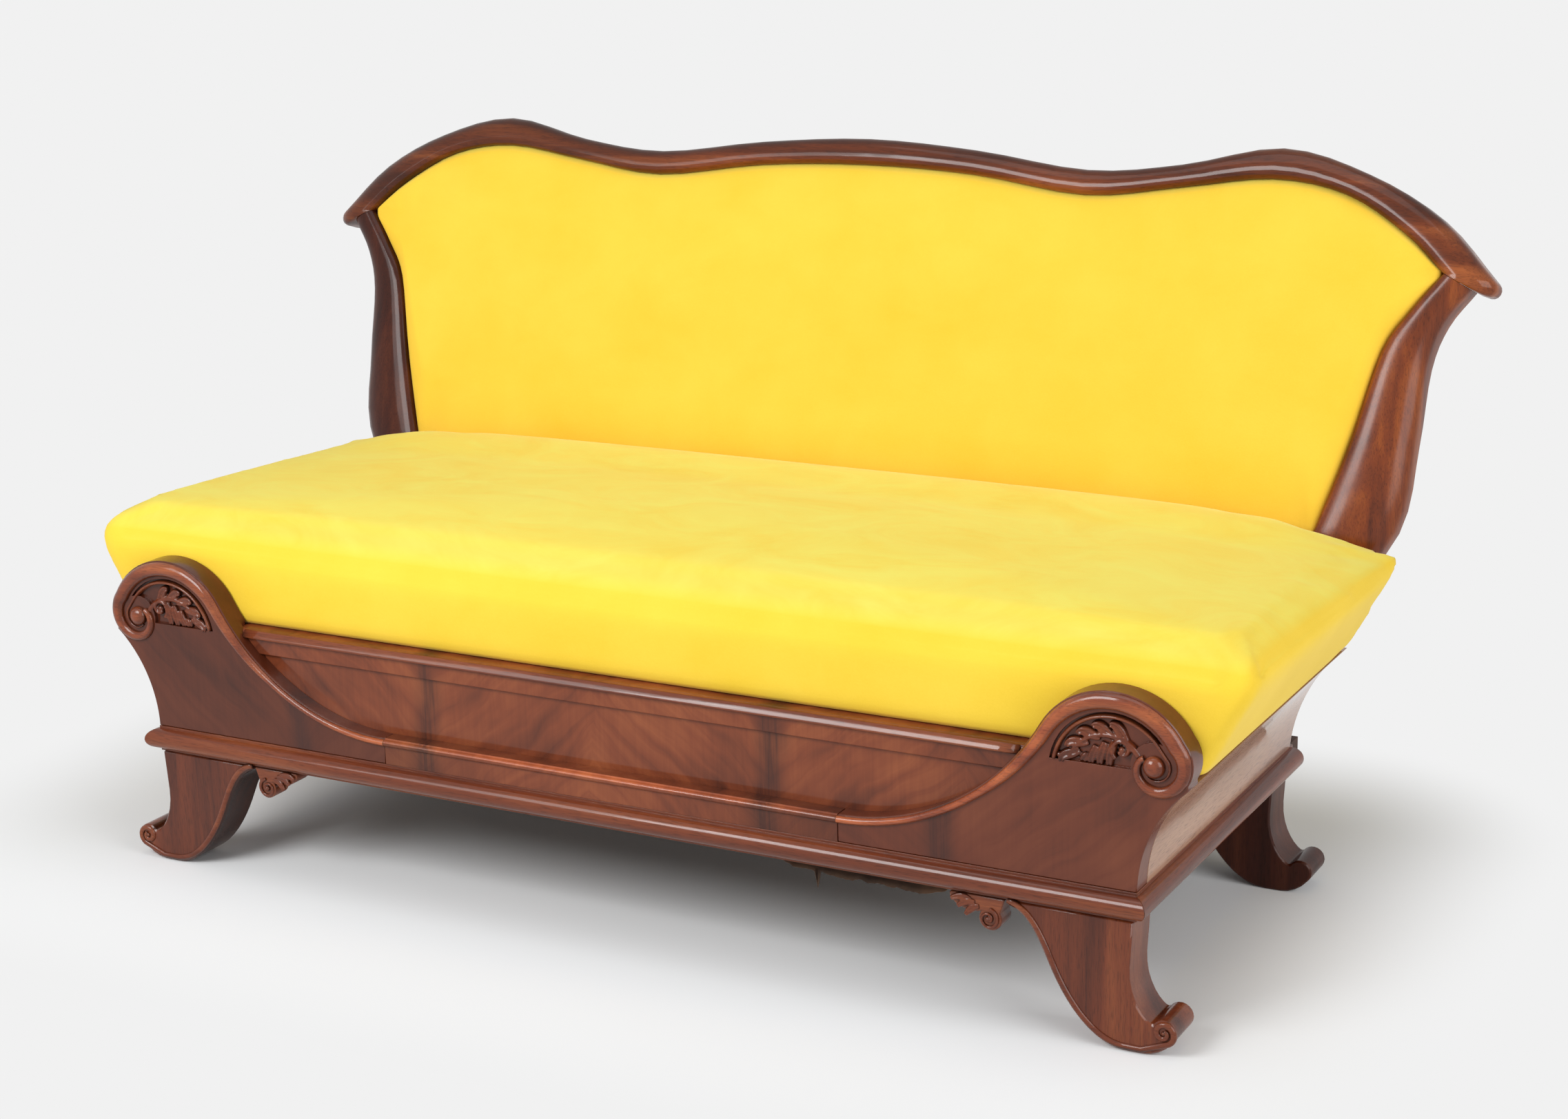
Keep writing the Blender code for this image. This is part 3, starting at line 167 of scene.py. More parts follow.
def polishedMahogany(name, grain, wear, depth, coat=0.7, look=mahoganyLook, darkening=0.0):
    finish, tree, shader, place = newFinish("French-polished mahogany, " + name)
    streakMap, bandMap, poreMap = (
        put(tree, "Mapping", {"Vector": place, "Scale": stretch(look[key], grain)})
        for key in ("streak", "band", "pore"))
    streaks = put(tree, "TexNoise", {
        "Vector": streakMap, "Scale": 1.0, "Detail": 4.0, "Roughness": 0.62, "Distortion": 0.5})
    bands = put(tree, "TexNoise", {"Vector": bandMap, "Scale": 1.0, "Detail": 2.0, "Distortion": 0.8})
    pores = put(tree, "TexNoise", {"Vector": poreMap, "Scale": 1.0, "Detail": 1.0})
    both = put(tree, "Mix", {0: 0.26, 2: bands, 3: streaks})
    tone = put(tree, "ValToRGB", {"Fac": both}, [(0.24 + depth, look["dark"]), (0.50 + depth, look["mid"]),
                                                 (0.78 + depth, look["light"])])
    poreMask = put(tree, "ValToRGB", {"Fac": pores}, [(0.34, 0.70), (0.46, 1.0)])
    grained = put(tree, "Mix", {0: 1.0, 6: tone, 7: poreMask}, data_type="RGBA", blend_type="MULTIPLY")
    rounded = put(tree, "Bevel", {"Radius": look["edge"]}, samples=6)
    flat = put(tree, "NewGeometry")
    turned = put(tree, "VectorMath", {0: rounded, 1: flat.outputs["Normal"]}, operation="DOT_PRODUCT")
    edges = put(tree, "MapRange", {"Value": turned, "From Min": 0.985, "From Max": 0.80})
    knocks = put(tree, "TexNoise", {"Vector": place, "Scale": 1 / look["knock"], "Detail": 4.0})
    knocked = put(tree, "MapRange", {"Value": knocks, "From Min": 0.47, "From Max": 0.66, "To Max": wear})
    worn = put(tree, "Math", {0: edges, 1: knocked}, operation="MULTIPLY")
    coloured = put(tree, "Mix", {0: worn, 6: grained, 7: linear(look["worn"])}, data_type="RGBA")
    if darkening:   # painted shade: darker in hollows and where parts meet, found by occlusion, standing also for old wax and dust
        exposed = put(tree, "AmbientOcclusion", {"Distance": look["hollow"]}, samples=6)
        darkShare = put(tree, "MapRange", {"Value": exposed.outputs["AO"], "From Min": 0.35, "From Max": 0.85,
                                        "To Min": darkening, "To Max": 0.0})
        coloured = put(tree, "Mix", {0: darkShare, 6: coloured, 7: linear(look["shadeAndSoil"])}, data_type="RGBA")
    coloured = toned(tree, coloured, look.get("toned", ()))
    smears = put(tree, "TexNoise", {"Vector": place, "Scale": 1 / look["smear"], "Detail": 3.0})
    gloss = put(tree, "MapRange", {"Value": smears, "From Min": 0.3, "From Max": 0.7,
                                   "To Min": look["gloss"][0], "To Max": look["gloss"][1]})
    dulled = put(tree, "Mix", {0: worn, 2: gloss, 3: 0.5})
    ripple = put(tree, "TexNoise", {"Vector": place, "Scale": 1 / look["ripple"], "Detail": 1.0})
    wavy = put(tree, "Bump", {"Strength": 0.25, "Distance": 0.0016, "Height": ripple, "Normal": rounded})
    bump = put(tree, "Bump", {"Strength": 0.20, "Distance": 0.0003, "Height": poreMask, "Normal": wavy})
    wire(tree, shader, {"Base Color": coloured, "Coat Roughness": dulled, "Normal": bump,
                        "Coat Normal": wavy, "Coat Weight": coat, **shellac})
    return finish


# figured mahogany veneer: leaves of flame figure laid side by side and mirrored at each joint, so a dark
# upright stripe at every other joint, with slanting flames that fade away from it, under the same shellac
veneerLook = {
    "dark": "#3d1c13", "mid": "#783b21", "light": "#9a5631", "stripe": "#331a15",
    "leaf": 0.2335, "joint": -0.25,                 # width of a leaf, and where a dark joint stands
    "stripeWidth": 0.032, "slant": 0.9, "spread": 0.24,
    "flame": (0.034, 0.190), "cloud": 0.110, "streak": (0.0040, 0.100),
    "edge": 0.0012, "wander": 0.10, "sway": 0.07, "smear": 0.09,
}


def figuredVeneer(name, look=veneerLook):
    finish, tree, shader, place = newFinish("Flame mahogany veneer, " + name)
    wander = put(tree, "TexNoise", {"Vector": place, "Scale": 1 / look["wander"], "Detail": 2.0})
    split = put(tree, "SeparateXYZ", {"Vector": place})
    sway = put(tree, "Math", {0: wander, 1: look["sway"], 2: split.outputs["X"]}, operation="MULTIPLY_ADD")
    shifted = put(tree, "Math", {0: sway, 1: look["joint"] + look["sway"] / 2}, operation="SUBTRACT")
    away = put(tree, "Math", {0: shifted, 1: look["leaf"]}, operation="PINGPONG")
    lean = put(tree, "Math", {0: away, 1: -look["slant"], 2: split.outputs["Z"]}, operation="MULTIPLY_ADD")
    feather = put(tree, "CombineXYZ", {"X": away, "Y": split.outputs["Y"], "Z": lean})
    flameMap = put(tree, "Mapping", {"Vector": feather, "Scale": stretch(look["flame"], "X")})
    flames = put(tree, "TexNoise", {
        "Vector": flameMap, "Scale": 1.0, "Detail": 3.0, "Roughness": 0.55, "Distortion": 1.0})
    clouds = put(tree, "TexNoise", {"Vector": place, "Scale": 1 / look["cloud"], "Detail": 2.0})
    streakMap = put(tree, "Mapping", {"Vector": place, "Scale": stretch(look["streak"], "Z")})
    streaks = put(tree, "TexNoise", {"Vector": streakMap, "Scale": 1.0, "Detail": 4.0, "Distortion": 0.4})
    broad = put(tree, "Mix", {0: 0.52, 2: flames, 3: clouds})
    both = put(tree, "Mix", {0: 0.11, 2: broad, 3: streaks})
    tone = put(tree, "ValToRGB", {"Fac": both}, [(0.49 - look["spread"], look["dark"]), (0.49, look["mid"]),
                                                 (0.49 + look["spread"], look["light"])])
    stripe = put(tree, "MapRange", {"Value": away, "From Min": look["stripeWidth"], "From Max": 0.0,
                                    "To Max": 0.72}, interpolation_type="SMOOTHSTEP")
    broken = put(tree, "Math", {0: stripe, 1: streaks}, operation="MULTIPLY")
    doubled = put(tree, "Math", {0: broken, 1: 1.8}, operation="MULTIPLY", use_clamp=True)
    coloured = put(tree, "Mix", {0: doubled, 6: tone, 7: linear(look["stripe"])}, data_type="RGBA")
    coloured = toned(tree, coloured, look.get("toned", ()))
    smears = put(tree, "TexNoise", {"Vector": place, "Scale": 1 / look["smear"], "Detail": 3.0})
    gloss = put(tree, "MapRange", {
        "Value": smears, "From Min": 0.3, "From Max": 0.7, "To Min": 0.06, "To Max": 0.16})
    rounded = put(tree, "Bevel", {"Radius": look["edge"]}, samples=6)
    wavy = put(tree, "Bump", {"Strength": 0.2, "Distance": 0.0012, "Height": clouds, "Normal": rounded})
    bump = put(tree, "Bump", {"Strength": 0.12, "Distance": 0.0002, "Height": streaks, "Normal": wavy})
    wire(tree, shader, {"Base Color": coloured, "Coat Roughness": gloss, "Normal": bump,
                        "Coat Normal": wavy, "Coat Weight": 0.7, **shellac})
    return finish


# cotton velvet: a short upright pile, so a soft matt yellow that pales where it is seen along the pile
velvetLook = {
    "low": "#ebc637", "high": "#f4d046", "sheen": "#fff6c4", "topSheen": "#ece368",
    "patch": 0.120, "brushed": (0.090, 0.150),
    "pile": 0.0018,                 # tufts are about 0.4 mm, drawn coarser to show
}


def cutVelvet(name, look=velvetLook):
    finish, tree, shader, place = newFinish(name)
    patches = put(tree, "TexNoise", {"Vector": place, "Scale": 1 / look["patch"], "Detail": 3.0})
    run = put(tree, "Mapping", {"Vector": place, "Scale": stretch(look["brushed"], "X")})
    brushed = put(tree, "TexNoise", {
        "Vector": run, "Scale": 1.0, "Detail": 4.0, "Roughness": 0.65, "Distortion": 1.2})
    pile = put(tree, "TexNoise", {"Vector": place, "Scale": 1 / look["pile"], "Detail": 2.0})
    worked = put(tree, "Mix", {0: 0.30, 2: patches, 3: brushed})
    lit = put(tree, "Mix", {0: 0.22, 2: worked, 3: pile})
    tone = put(tree, "ValToRGB", {"Fac": lit}, [(0.32, look["low"]), (0.68, look["high"])])
    # up-facing faces painted paler and greener, in strokes: painted sheen
    facing = put(tree, "SeparateXYZ", {"Vector": put(tree, "NewGeometry").outputs["Normal"]})
    level = put(tree, "MapRange", {"Value": facing.outputs["Z"], "From Min": 0.55, "From Max": 0.98})
    strokes = put(tree, "MapRange", {
        "Value": brushed, "From Min": 0.30, "From Max": 0.68, "To Min": 0.30, "To Max": 0.85})
    paintedTopSheen = put(tree, "Math", {0: level, 1: strokes}, operation="MULTIPLY")
    coloured = put(tree, "Mix", {0: paintedTopSheen, 6: tone, 7: linear(look["topSheen"])}, data_type="RGBA")
    bump = put(tree, "Bump", {"Strength": 0.22, "Distance": 0.0006, "Height": pile})
    wire(tree, shader, {"Base Color": coloured, "Normal": bump, "Roughness": 0.85,
                        "Specular IOR Level": 0.15, "Sheen Weight": 0.30, "Sheen Roughness": 0.40,
                        "Sheen Tint": linear(look["sheen"])})
    return finish


# plain-woven jute: coarse brown threads over and under, matt, with gaps that read as dark dots
def wovenJute(name, thread, dark, pale):
    finish, tree, shader, place = newFinish(name)
    scale = math.pi / thread / 10   # Blender's wave bands repeat every pi / 10 at scale 1
    warp, weft = (put(tree, "TexWave", {"Vector": place, "Scale": scale, "Distortion": 1.2, "Detail": 1.0},
                      bands_direction=run).outputs["Fac"] for run in "XY")
    weave = put(tree, "Math", {0: warp, 1: weft}, operation="MAXIMUM")
    slubs = put(tree, "TexNoise", {"Vector": place, "Scale": 1 / 0.03, "Detail": 4.0})
    both = put(tree, "Mix", {0: 0.5, 2: weave, 3: slubs})
    tone = put(tree, "ValToRGB", {"Fac": both}, [(0.25, dark), (0.75, pale)])
    bump = put(tree, "Bump", {"Strength": 0.6, "Distance": 0.0006, "Height": weave})
    wire(tree, shader, {"Base Color": tone, "Normal": bump, "Roughness": 0.95})
    return finish


# old sawn pine: dry, matt, yellow-brown with wide growth bands and grey dirt in the grain
def sawnPine(name, grain, tones=("#6b4a2a", "#94703f", "#a98652")):
    finish, tree, shader, place = newFinish("Sawn pine, " + name)
    run = put(tree, "Mapping", {"Vector": place, "Scale": stretch((0.011, 0.30), grain)})
    rings = put(tree, "TexNoise", {"Vector": run, "Scale": 1.0, "Detail": 4.0, "Distortion": 0.7})
    darkening = put(tree, "TexNoise", {"Vector": place, "Scale": 1 / 0.10, "Detail": 5.0})
    tone = put(tree, "ValToRGB", {"Fac": rings}, list(zip((0.30, 0.55, 0.75), tones)))
    darkShare = put(tree, "MapRange", {"Value": darkening, "From Min": 0.4, "From Max": 0.7, "To Max": 0.55})
    coloured = put(tree, "Mix", {0: darkShare, 6: tone, 7: linear("#4a3423")}, data_type="RGBA")
    bump = put(tree, "Bump", {"Strength": 0.3, "Distance": 0.0006, "Height": rings})
    wire(tree, shader, {"Base Color": coloured, "Normal": bump, "Roughness": 0.75})
    return finish


# drawn steel spring wire: grey metal with a brown bloom of old rust
def springWire(name):
    finish, tree, shader, place = newFinish(name)
    bloom = put(tree, "TexNoise", {"Vector": place, "Scale": 1 / 0.012, "Detail": 5.0})
    tone = put(tree, "ValToRGB", {"Fac": bloom}, [(0.42, "#8d8a86"), (0.62, "#6e4a33")])
    rough = put(tree, "MapRange", {
        "Value": bloom, "From Min": 0.4, "From Max": 0.6, "To Min": 0.30, "To Max": 0.65})
    bump = put(tree, "Bump", {"Strength": 0.2, "Distance": 0.0003, "Height": bloom})
    wire(tree, shader, {"Base Color": tone, "Roughness": rough, "Normal": bump, "Metallic": 1.0})
    return finish


# dyed cotton lining: thin dark brown plain weave, paler where it is dusty
def dyedCotton(name):
    finish, tree, shader, place = newFinish(name)
    weave = put(tree, "TexNoise", {"Vector": place, "Scale": 1 / 0.0016, "Detail": 1.0})
    dust = put(tree, "TexNoise", {"Vector": place, "Scale": 1 / 0.06, "Detail": 5.0})
    tone = put(tree, "ValToRGB", {"Fac": dust}, [(0.40, "#3a2a20"), (0.70, "#70543f")])
    bump = put(tree, "Bump", {"Strength": 0.4, "Distance": 0.0004, "Height": weave})
    wire(tree, shader, {"Base Color": tone, "Normal": bump, "Roughness": 0.95})
    return finish


finerEdge = {**mahoganyLook, "edge": 0.0009}
# upward faces painted darker (painted shade), darker toward the left end, and painted shade by occlusion
# where it meets the velvet
crestWood = polishedMahogany("along", "X", 0.35, 0.0, 0.5, {
    **finerEdge, "dark": "#2e1109", "mid": "#6b3115", "light": "#a65c2e",
    "toned": (("Normal", "Z", 0.50, 0.95, 0.45), ("Position", "X", -0.20, -0.46, 0.66))}, 0.6)
sideWood = polishedMahogany("pale side, painted reflection", "Y", 0.30, 0.0, 1.0, {
    **mahoganyLook, "dark": "#6b4430", "mid": "#a0755a", "light": "#ba8f70"})   # paler colour: painted reflection
stileWood = polishedMahogany("upright", "Z", 0.35, -0.02, 0.55, {
    **finerEdge, "mid": "#713314", "light": "#9d531f", "gloss": (0.16, 0.26)})
mouldingWood = polishedMahogany("chipped edge", "X", 0.45, -0.01, look=finerEdge)
sideMouldingWood = polishedMahogany("chipped side edge", "Y", 0.45, -0.02, look=finerEdge)
# painted shade in the grooves beside the beads, by occlusion
beadWood = polishedMahogany("bead", "X", 0.50, -0.03, darkening=0.85)
highlitBeadWood = polishedMahogany("bead, painted highlight", "X", 0.50, -0.03, 0.8, {
    **mahoganyLook, "toned": (("Normal", "Y", -0.86, -0.985, 1.45), ("Normal", "Z", 0.05, 0.45, 1.25),
                              ("Position", "X", 0.62, 0.54, 1.40), ("Position", "X", -0.30, -0.45, 0.62)),
    }, 0.85)   # crown painted paler where it faces the front and the top: painted highlight; paler along the run between the domes, darker at the left end
# darker tone and painted shade in the hollows of the carving
carvedWood = polishedMahogany("carving", "X", 0.50, 0.06, darkening=0.95)
footWood = polishedMahogany("foot", "Z", 0.55, 0.05)
shadyFootWood = polishedMahogany("left foot", "Z", 0.55, 0.06, look={
    **mahoganyLook, "toned": (("Normal", "X", 0.15, 0.5, 0.30),)})   # inner face painted darker: painted shade
# darker copy for the left stile and the rear feet: painted shade
darkWood = polishedMahogany("darker board, painted shade", "Z", 0.30, 0.0, 0.35, {
    **mahoganyLook, "dark": "#220c07", "mid": "#3e190d", "light": "#5a2c18"})
panelVeneer = figuredVeneer("front")
apronVeneer = figuredVeneer("apron", {
    **veneerLook, "edge": 0.0005, "toned": (
        ("Position", "X", 0.10, 0.31, 0.66), ("Position", "X", -0.10, -0.31, 0.66),
        ("Normal", "Z", 0.15, 0.45, 1.9), ("Normal", "Z", 0.85, 0.97, 0.45))})   # its bead's upper round painted paler (painted highlight), faces looking straight up painted darker (painted shade), and darker toward both ends
boardLook = {**veneerLook, "leaf": 0.437, "joint": -0.437, "dark": "#331710", "mid": "#632f1c",
             "light": "#7d4329", "spread": 0.34, "edge": 0.0005}
boardVeneer = figuredVeneer("right board", boardLook)
# darker copy of the board veneer for the left board: painted shade
shadyBoardVeneer = figuredVeneer("left board, painted shade", {
    **boardLook, "dark": "#2b120c", "mid": "#552716", "light": "#6c3822"})
velvet = cutVelvet("Yellow cotton velvet")
# a more orange copy of the velvet for the back, where light falls on it differently: painted light
backVelvet = cutVelvet("Yellow cotton velvet, back", {**velvetLook, "low": "#ebc037", "high": "#f4ca46"})
jute = wovenJute("Jute webbing", 0.0030, "#5e4527", "#a98a5a")
hessian = wovenJute("Jute hessian", 0.0034, "#6b5230", "#b3976a")
pineAlong = sawnPine("along", "X")
pineUp = sawnPine("upright", "Z")
pineBack = sawnPine("front to back", "Y")
pineStained = sawnPine("stained", "X", ("#2a140c", "#3c1f12", "#4a2a1a"))
steel = springWire("Drawn steel spring wire")
cotton = dyedCotton("Dyed cotton lining")
print("finishes made:", len(bpy.data.materials))


# CAD solids come in as loose triangles: weld them and shade smooth up to a corner angle
softEdges = bpy.data.node_groups.new("softEdges", "GeometryNodeTree")
softEdges.interface.new_socket("Geometry", in_out="INPUT", socket_type="NodeSocketGeometry")
softEdges.interface.new_socket("Geometry", in_out="OUTPUT", socket_type="NodeSocketGeometry")
arriving = put(softEdges, "NodeGroupInput")
plainNormals = put(softEdges, "GeometryNodeRemoveAttribute", {
    "Geometry": arriving, "Name": "custom_normal"})
welded = put(softEdges, "GeometryNodeMergeByDistance", {"Geometry": plainNormals, "Distance": 0.00002})
bend = put(softEdges, "GeometryNodeInputMeshEdgeAngle")
gentle = put(softEdges, "Math", {0: bend.outputs["Unsigned Angle"], 1: math.radians(37)},
             operation="LESS_THAN")
rounded = put(softEdges, "GeometryNodeSetShadeSmooth", {"Geometry": welded, "Shade Smooth": True},
              domain="FACE")
kept = put(softEdges, "GeometryNodeSetShadeSmooth", {"Geometry": rounded, "Shade Smooth": gentle},
           domain="EDGE")
put(softEdges, "NodeGroupOutput", {"Geometry": kept})

nodeFinishes = {
    "crest_rail": crestWood, "back_stile_left": darkWood, "back_stile": stileWood,
    "base_moulding_front": mouldingWood, "base_moulding": sideMouldingWood,
    "foot_front_left": shadyFootWood, "foot_front": footWood, "foot_rear": darkWood,
    "foot_bracket": beadWood, "front_rail_band": panelVeneer, "front_rail": panelVeneer,
    "front_apron": apronVeneer, "scroll_board_left": shadyBoardVeneer, "scroll_board": boardVeneer,
    "scroll_bead": highlitBeadWood, "side_rail": sideWood,
    "back_bottom_rail": pineAlong, "base_frame_rear": pineStained, "rear_rail": pineAlong,
    "corner_block": pineUp, "corner_post": pineUp, "cross_bearer": pineBack, "seat_spring": steel,
}
for nodeName, node in nodes.items():
    match = next((f for start, f in nodeFinishes.items() if nodeName.startswith(start)), None)
    if match:
        node.data.materials.clear()
        node.data.materials.append(match)
        node.modifiers.new("soft edges", "NODES").node_group = softEdges
print("CAD pieces dressed")


def newObject(name, data):
    made = bpy.data.objects.new(name, data)
    scene.collection.objects.link(made)
    return made


def addPiece(name, mesh, finish):
    piece = newObject(name, mesh)
    mesh.materials.append(finish)
    mesh.shade_smooth()
    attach(piece, "root")
    return piece


def meshFrom(name, bm):
    mesh = bpy.data.meshes.new(name)
    bm.to_mesh(mesh)
    bm.free()
    return mesh


def joinedCopy(name, *nodeNames):
    bm = bmesh.new()
    for nodeName in nodeNames:
        bm.from_mesh(nodes[nodeName].data)
    bmesh.ops.remove_doubles(bm, verts=bm.verts, dist=0.00002)
    return meshFrom(name, bm)


def modify(piece, name, kind, **settings):
    step = piece.modifiers.new(name, kind)
    for key, value in settings.items():
        setattr(step, key, value)


def settleModifiers(piece):
    shape = bpy.data.meshes.new_from_object(piece.evaluated_get(bpy.context.evaluated_depsgraph_get()))
    piece.modifiers.clear()
    piece.data = shape
    piece.vertex_groups.clear()


def points(piece, kind="co"):
    flat = np.empty(len(piece.data.vertices) * 3, np.float64)
    piece.data.vertices.foreach_get(kind, flat)
    return flat.reshape(-1, 3)


def movePoints(piece, places):
    piece.data.vertices.foreach_set("co", np.asarray(places, np.float64).ravel())
    piece.data.update()


def ramp(value, start, end):
    share = np.clip((value - start) / (end - start), 0.0, 1.0)
    return share * share * (3 - 2 * share)


def weigh(piece, name, weights):
    group = piece.vertex_groups.new(name=name)
    for index in np.nonzero(weights > 0.02)[0]:
        group.add([int(index)], float(weights[index]), "REPLACE")


def swell(piece, held, look):
    # the cover is blown out like a cushion, held where it is nailed, and kept within a small reach
    weigh(piece, "nailed", held)
    start = points(piece)
    cloth = piece.modifiers.new("swell", "CLOTH")
    settings = cloth.settings
    settings.quality = 4
    settings.mass = 0.3
    settings.tension_stiffness = look["tension"]
    settings.compression_stiffness = look["tension"]
    settings.shear_stiffness = look["tension"] / 3
    settings.bending_stiffness = 0.4
    settings.use_pressure = True
    settings.uniform_pressure_force = look["pressure"]
    settings.vertex_group_mass = "nailed"
    settings.effector_weights.gravity = 0.0
    cloth.collision_settings.use_collision = False
    for step in range(1, look["steps"] + 1):
        scene.frame_set(step)
    settleModifiers(piece)
    scene.frame_set(1)
    moved = points(piece) - start
    length = np.linalg.norm(moved, axis=1, keepdims=True)
    movePoints(piece, start + moved * np.minimum(1.0, look["reach"] / np.maximum(length, 1e-9)))


# seat cover: one pull of velvet over the sprung seat, nailed along the rails
seatLook = {
    "voxel": 0.008, "inset": 0.004, "smooth": 8, "pressure": 4.0, "tension": 12.0, "steps": 12,
    "reach": 0.0055, "fill": 0.85,
    "nailed": 0.390, "free": 0.045,         # height of the nails, and how far above them the cover is free
    "corner": 0.030, "square": 0.9, "squareUp": 0.03, "slice": 0.006,   # rear corners are drawn out square
    "plainHalf": (0.30, 0.12),              # half length and depth over which the sides run straight
    "tuck": 0.013, "tuckBack": (0.09, 0.02), "tuckUp": (0.385, 0.42), "tuckEnds": (0.60, 0.66),
    "full": 0.009, "fullBack": (0.16, 0.04), "fullUp": (0.40, 0.43), "fullEnds": (0.62, 0.75),
    "even": 4, "evenBack": (0.11, 0.06), "evenEnds": (0.58, 0.64),
    "fitUp": (0.345, 0.42), "fitFront": (0.15, 0.30),
}
seatNodes = ("seat_pad", "seat_border_front", "seat_border_left", "seat_border_right", "seat_border_rear")
seatCover = addPiece("seatCover", joinedCopy("seatCover", *seatNodes), velvet)
modify(seatCover, "one skin", "REMESH", mode="VOXEL", voxel_size=seatLook["voxel"])
settleModifiers(seatCover)
nailed = seatLook["nailed"]
loose = ramp(points(seatCover)[:, 2], nailed, nailed + seatLook["free"])
weigh(seatCover, "loose", loose)
modify(seatCover, "eased", "SMOOTH", iterations=seatLook["smooth"], vertex_group="loose")
modify(seatCover, "smaller", "DISPLACE", strength=-seatLook["inset"], mid_level=0.0, vertex_group="loose")
settleModifiers(seatCover)
swell(seatCover, 1 - loose, seatLook)
place = points(seatCover)
levels = np.linspace(place[:, 2].min(), place[:, 2].max(), 40)
around = [np.abs(place[:, 2] - level) < seatLook["slice"] for level in levels]
plainX, plainY = (np.abs(place[:, k]) < seatLook["plainHalf"][k] for k in (0, 1))
sideAt = [np.abs(place[near & plainY, 0]).max(initial=0.0) for near in around]
rearAt = [place[near & plainX, 1].max(initial=-1.0) for near in around]
sideX, rearY = np.interp(place[:, 2], levels, sideAt), np.interp(place[:, 2], levels, rearAt)
corner = seatLook["corner"]
over = np.maximum(np.abs(place[:, 0]) - sideX + corner, 0.0)
back = np.maximum(place[:, 1] - rearY + corner, 0.0)
spread = np.hypot(over, back) / np.maximum(np.maximum(over, back), 1e-9)
squared = seatLook["square"] * ramp(place[:, 2], nailed, nailed + seatLook["squareUp"])
spread = np.where((over > 0) & (back > 0), 1 + (spread - 1) * squared, 1.0)
place[:, 0] += np.sign(place[:, 0]) * np.clip(over * (spread - 1), 0.0, np.maximum(corner - over, 0.0))
place[:, 1] += np.clip(back * (spread - 1), 0.0, np.maximum(corner - back, 0.0))
padLow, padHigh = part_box("seat_pad")


def nearRear(key):
    first, last = seatLook[key + "Back"]
    return ramp(place[:, 1], padHigh.y - first, padHigh.y - last)


def nearEnds(key):
    return ramp(np.abs(place[:, 0]), *seatLook[key + "Ends"])


# pushed in under the back, and a little fuller there
tuck = nearRear("tuck") * ramp(place[:, 2], *seatLook["tuckUp"]) * (1 - nearEnds("tuck"))
place[:, 1] += seatLook["tuck"] * tuck
full = nearRear("full") * ramp(place[:, 2], *seatLook["fullUp"])
place[:, 2] += seatLook["full"] * full * (1 - nearEnds("full"))
movePoints(seatCover, place)
weigh(seatCover, "rear corners", nearEnds("even") * nearRear("even"))
modify(seatCover, "even corners", "SMOOTH", iterations=seatLook["even"], vertex_group="rear corners")
settleModifiers(seatCover)
place = points(seatCover)
upper = ramp(place[:, 2], *seatLook["fitUp"])   # the cover fills the pad's own box
place[:, 0] *= 1 + (padHigh.x / place[:, 0].max() - 1) * upper
place[:, 1] += (padLow.y - place[:, 1].min()) * ramp(-place[:, 1], *seatLook["fitFront"]) * upper
place[:, 2] += (padHigh.z - place[:, 2].max()) * upper
movePoints(seatCover, place)
seatCover.data.shade_smooth()
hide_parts(*seatNodes)
print("seat cover:", len(seatCover.data.vertices), "points")


def twoFaced(name, one, other):
    # closed mesh between two grids of points
    rows, columns = len(one), len(one[0])
    sides = [np.array(grid, float).reshape(-1, 3) for grid in (one, other)]
    count = rows * columns
    faces = []
    for i in range(rows - 1):
        for j in range(columns - 1):
            a, d = i * columns + j, (i + 1) * columns + j
            face = (a, a + 1, d + 1, d)
            faces += [face, tuple(corner + count for corner in reversed(face))]
    rim = list(range(columns)) + [i * columns + columns - 1 for i in range(1, rows)]
    rim += [(rows - 1) * columns + j for j in range(columns - 2, -1, -1)]
    rim += [i * columns for i in range(rows - 2, 0, -1)]
    for a, b in zip(rim, rim[1:] + rim[:1]):
        faces.append((b, a, a + count, b + count))
    mesh = bpy.data.meshes.new(name)
    mesh.from_pydata(np.concatenate(sides).tolist(), [], faces)
    mesh.update()
    return mesh


def clothPiece(name, grid, look, finish):
    mid = np.array(grid, float)
    out = np.cross(np.gradient(mid, axis=1), np.gradient(mid, axis=0))
    out /= np.maximum(np.linalg.norm(out, axis=2, keepdims=True), 1e-12)
    half = out * look["thickness"] / 2
    return addPiece(name, twoFaced(name, mid + half, mid - half), finish)


def columnEnds(nodeName, x):
    # lowest and highest point of a node's section at x
    mesh = nodes[nodeName].data
    found = []
    for polygon in mesh.polygons:
        corners = [mesh.vertices[v].co for v in polygon.vertices]
        for a, b in zip(corners, corners[1:] + corners[:1]):
            if (a.x - x) * (b.x - x) < 0:
                found.append(a.lerp(b, (x - a.x) / (b.x - a.x)))
    return min(found, key=lambda p: p.z), max(found, key=lambda p: p.z)


def rakedGrid(nodeName, look):
    # points over a node of the raked back, closer together at the ends; a lap reaches past its edges
    low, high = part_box(nodeName)
    columns, rows, margin = look["columns"], look["rows"], 0.002
    grid = []
    for i in range(columns + 1):
        share = i / columns
        x = low.x + margin + (high.x - low.x - 2 * margin) * (0.5 - 0.5 * math.cos(math.pi * share))
        foot, top = columnEnds(nodeName, x)
        over = (top - foot).normalized() * look["lap"]
        foot, top = foot - over, top + over
        column = []
        for j in range(rows + 1):
            lift = look["bulge"] * (1 - (2 * share - 1) ** 4) * (1 - (2 * j / rows - 1) ** 4)
            column.append(foot.lerp(top, j / rows) + rearward * lift)
        grid.append(column)
    return grid


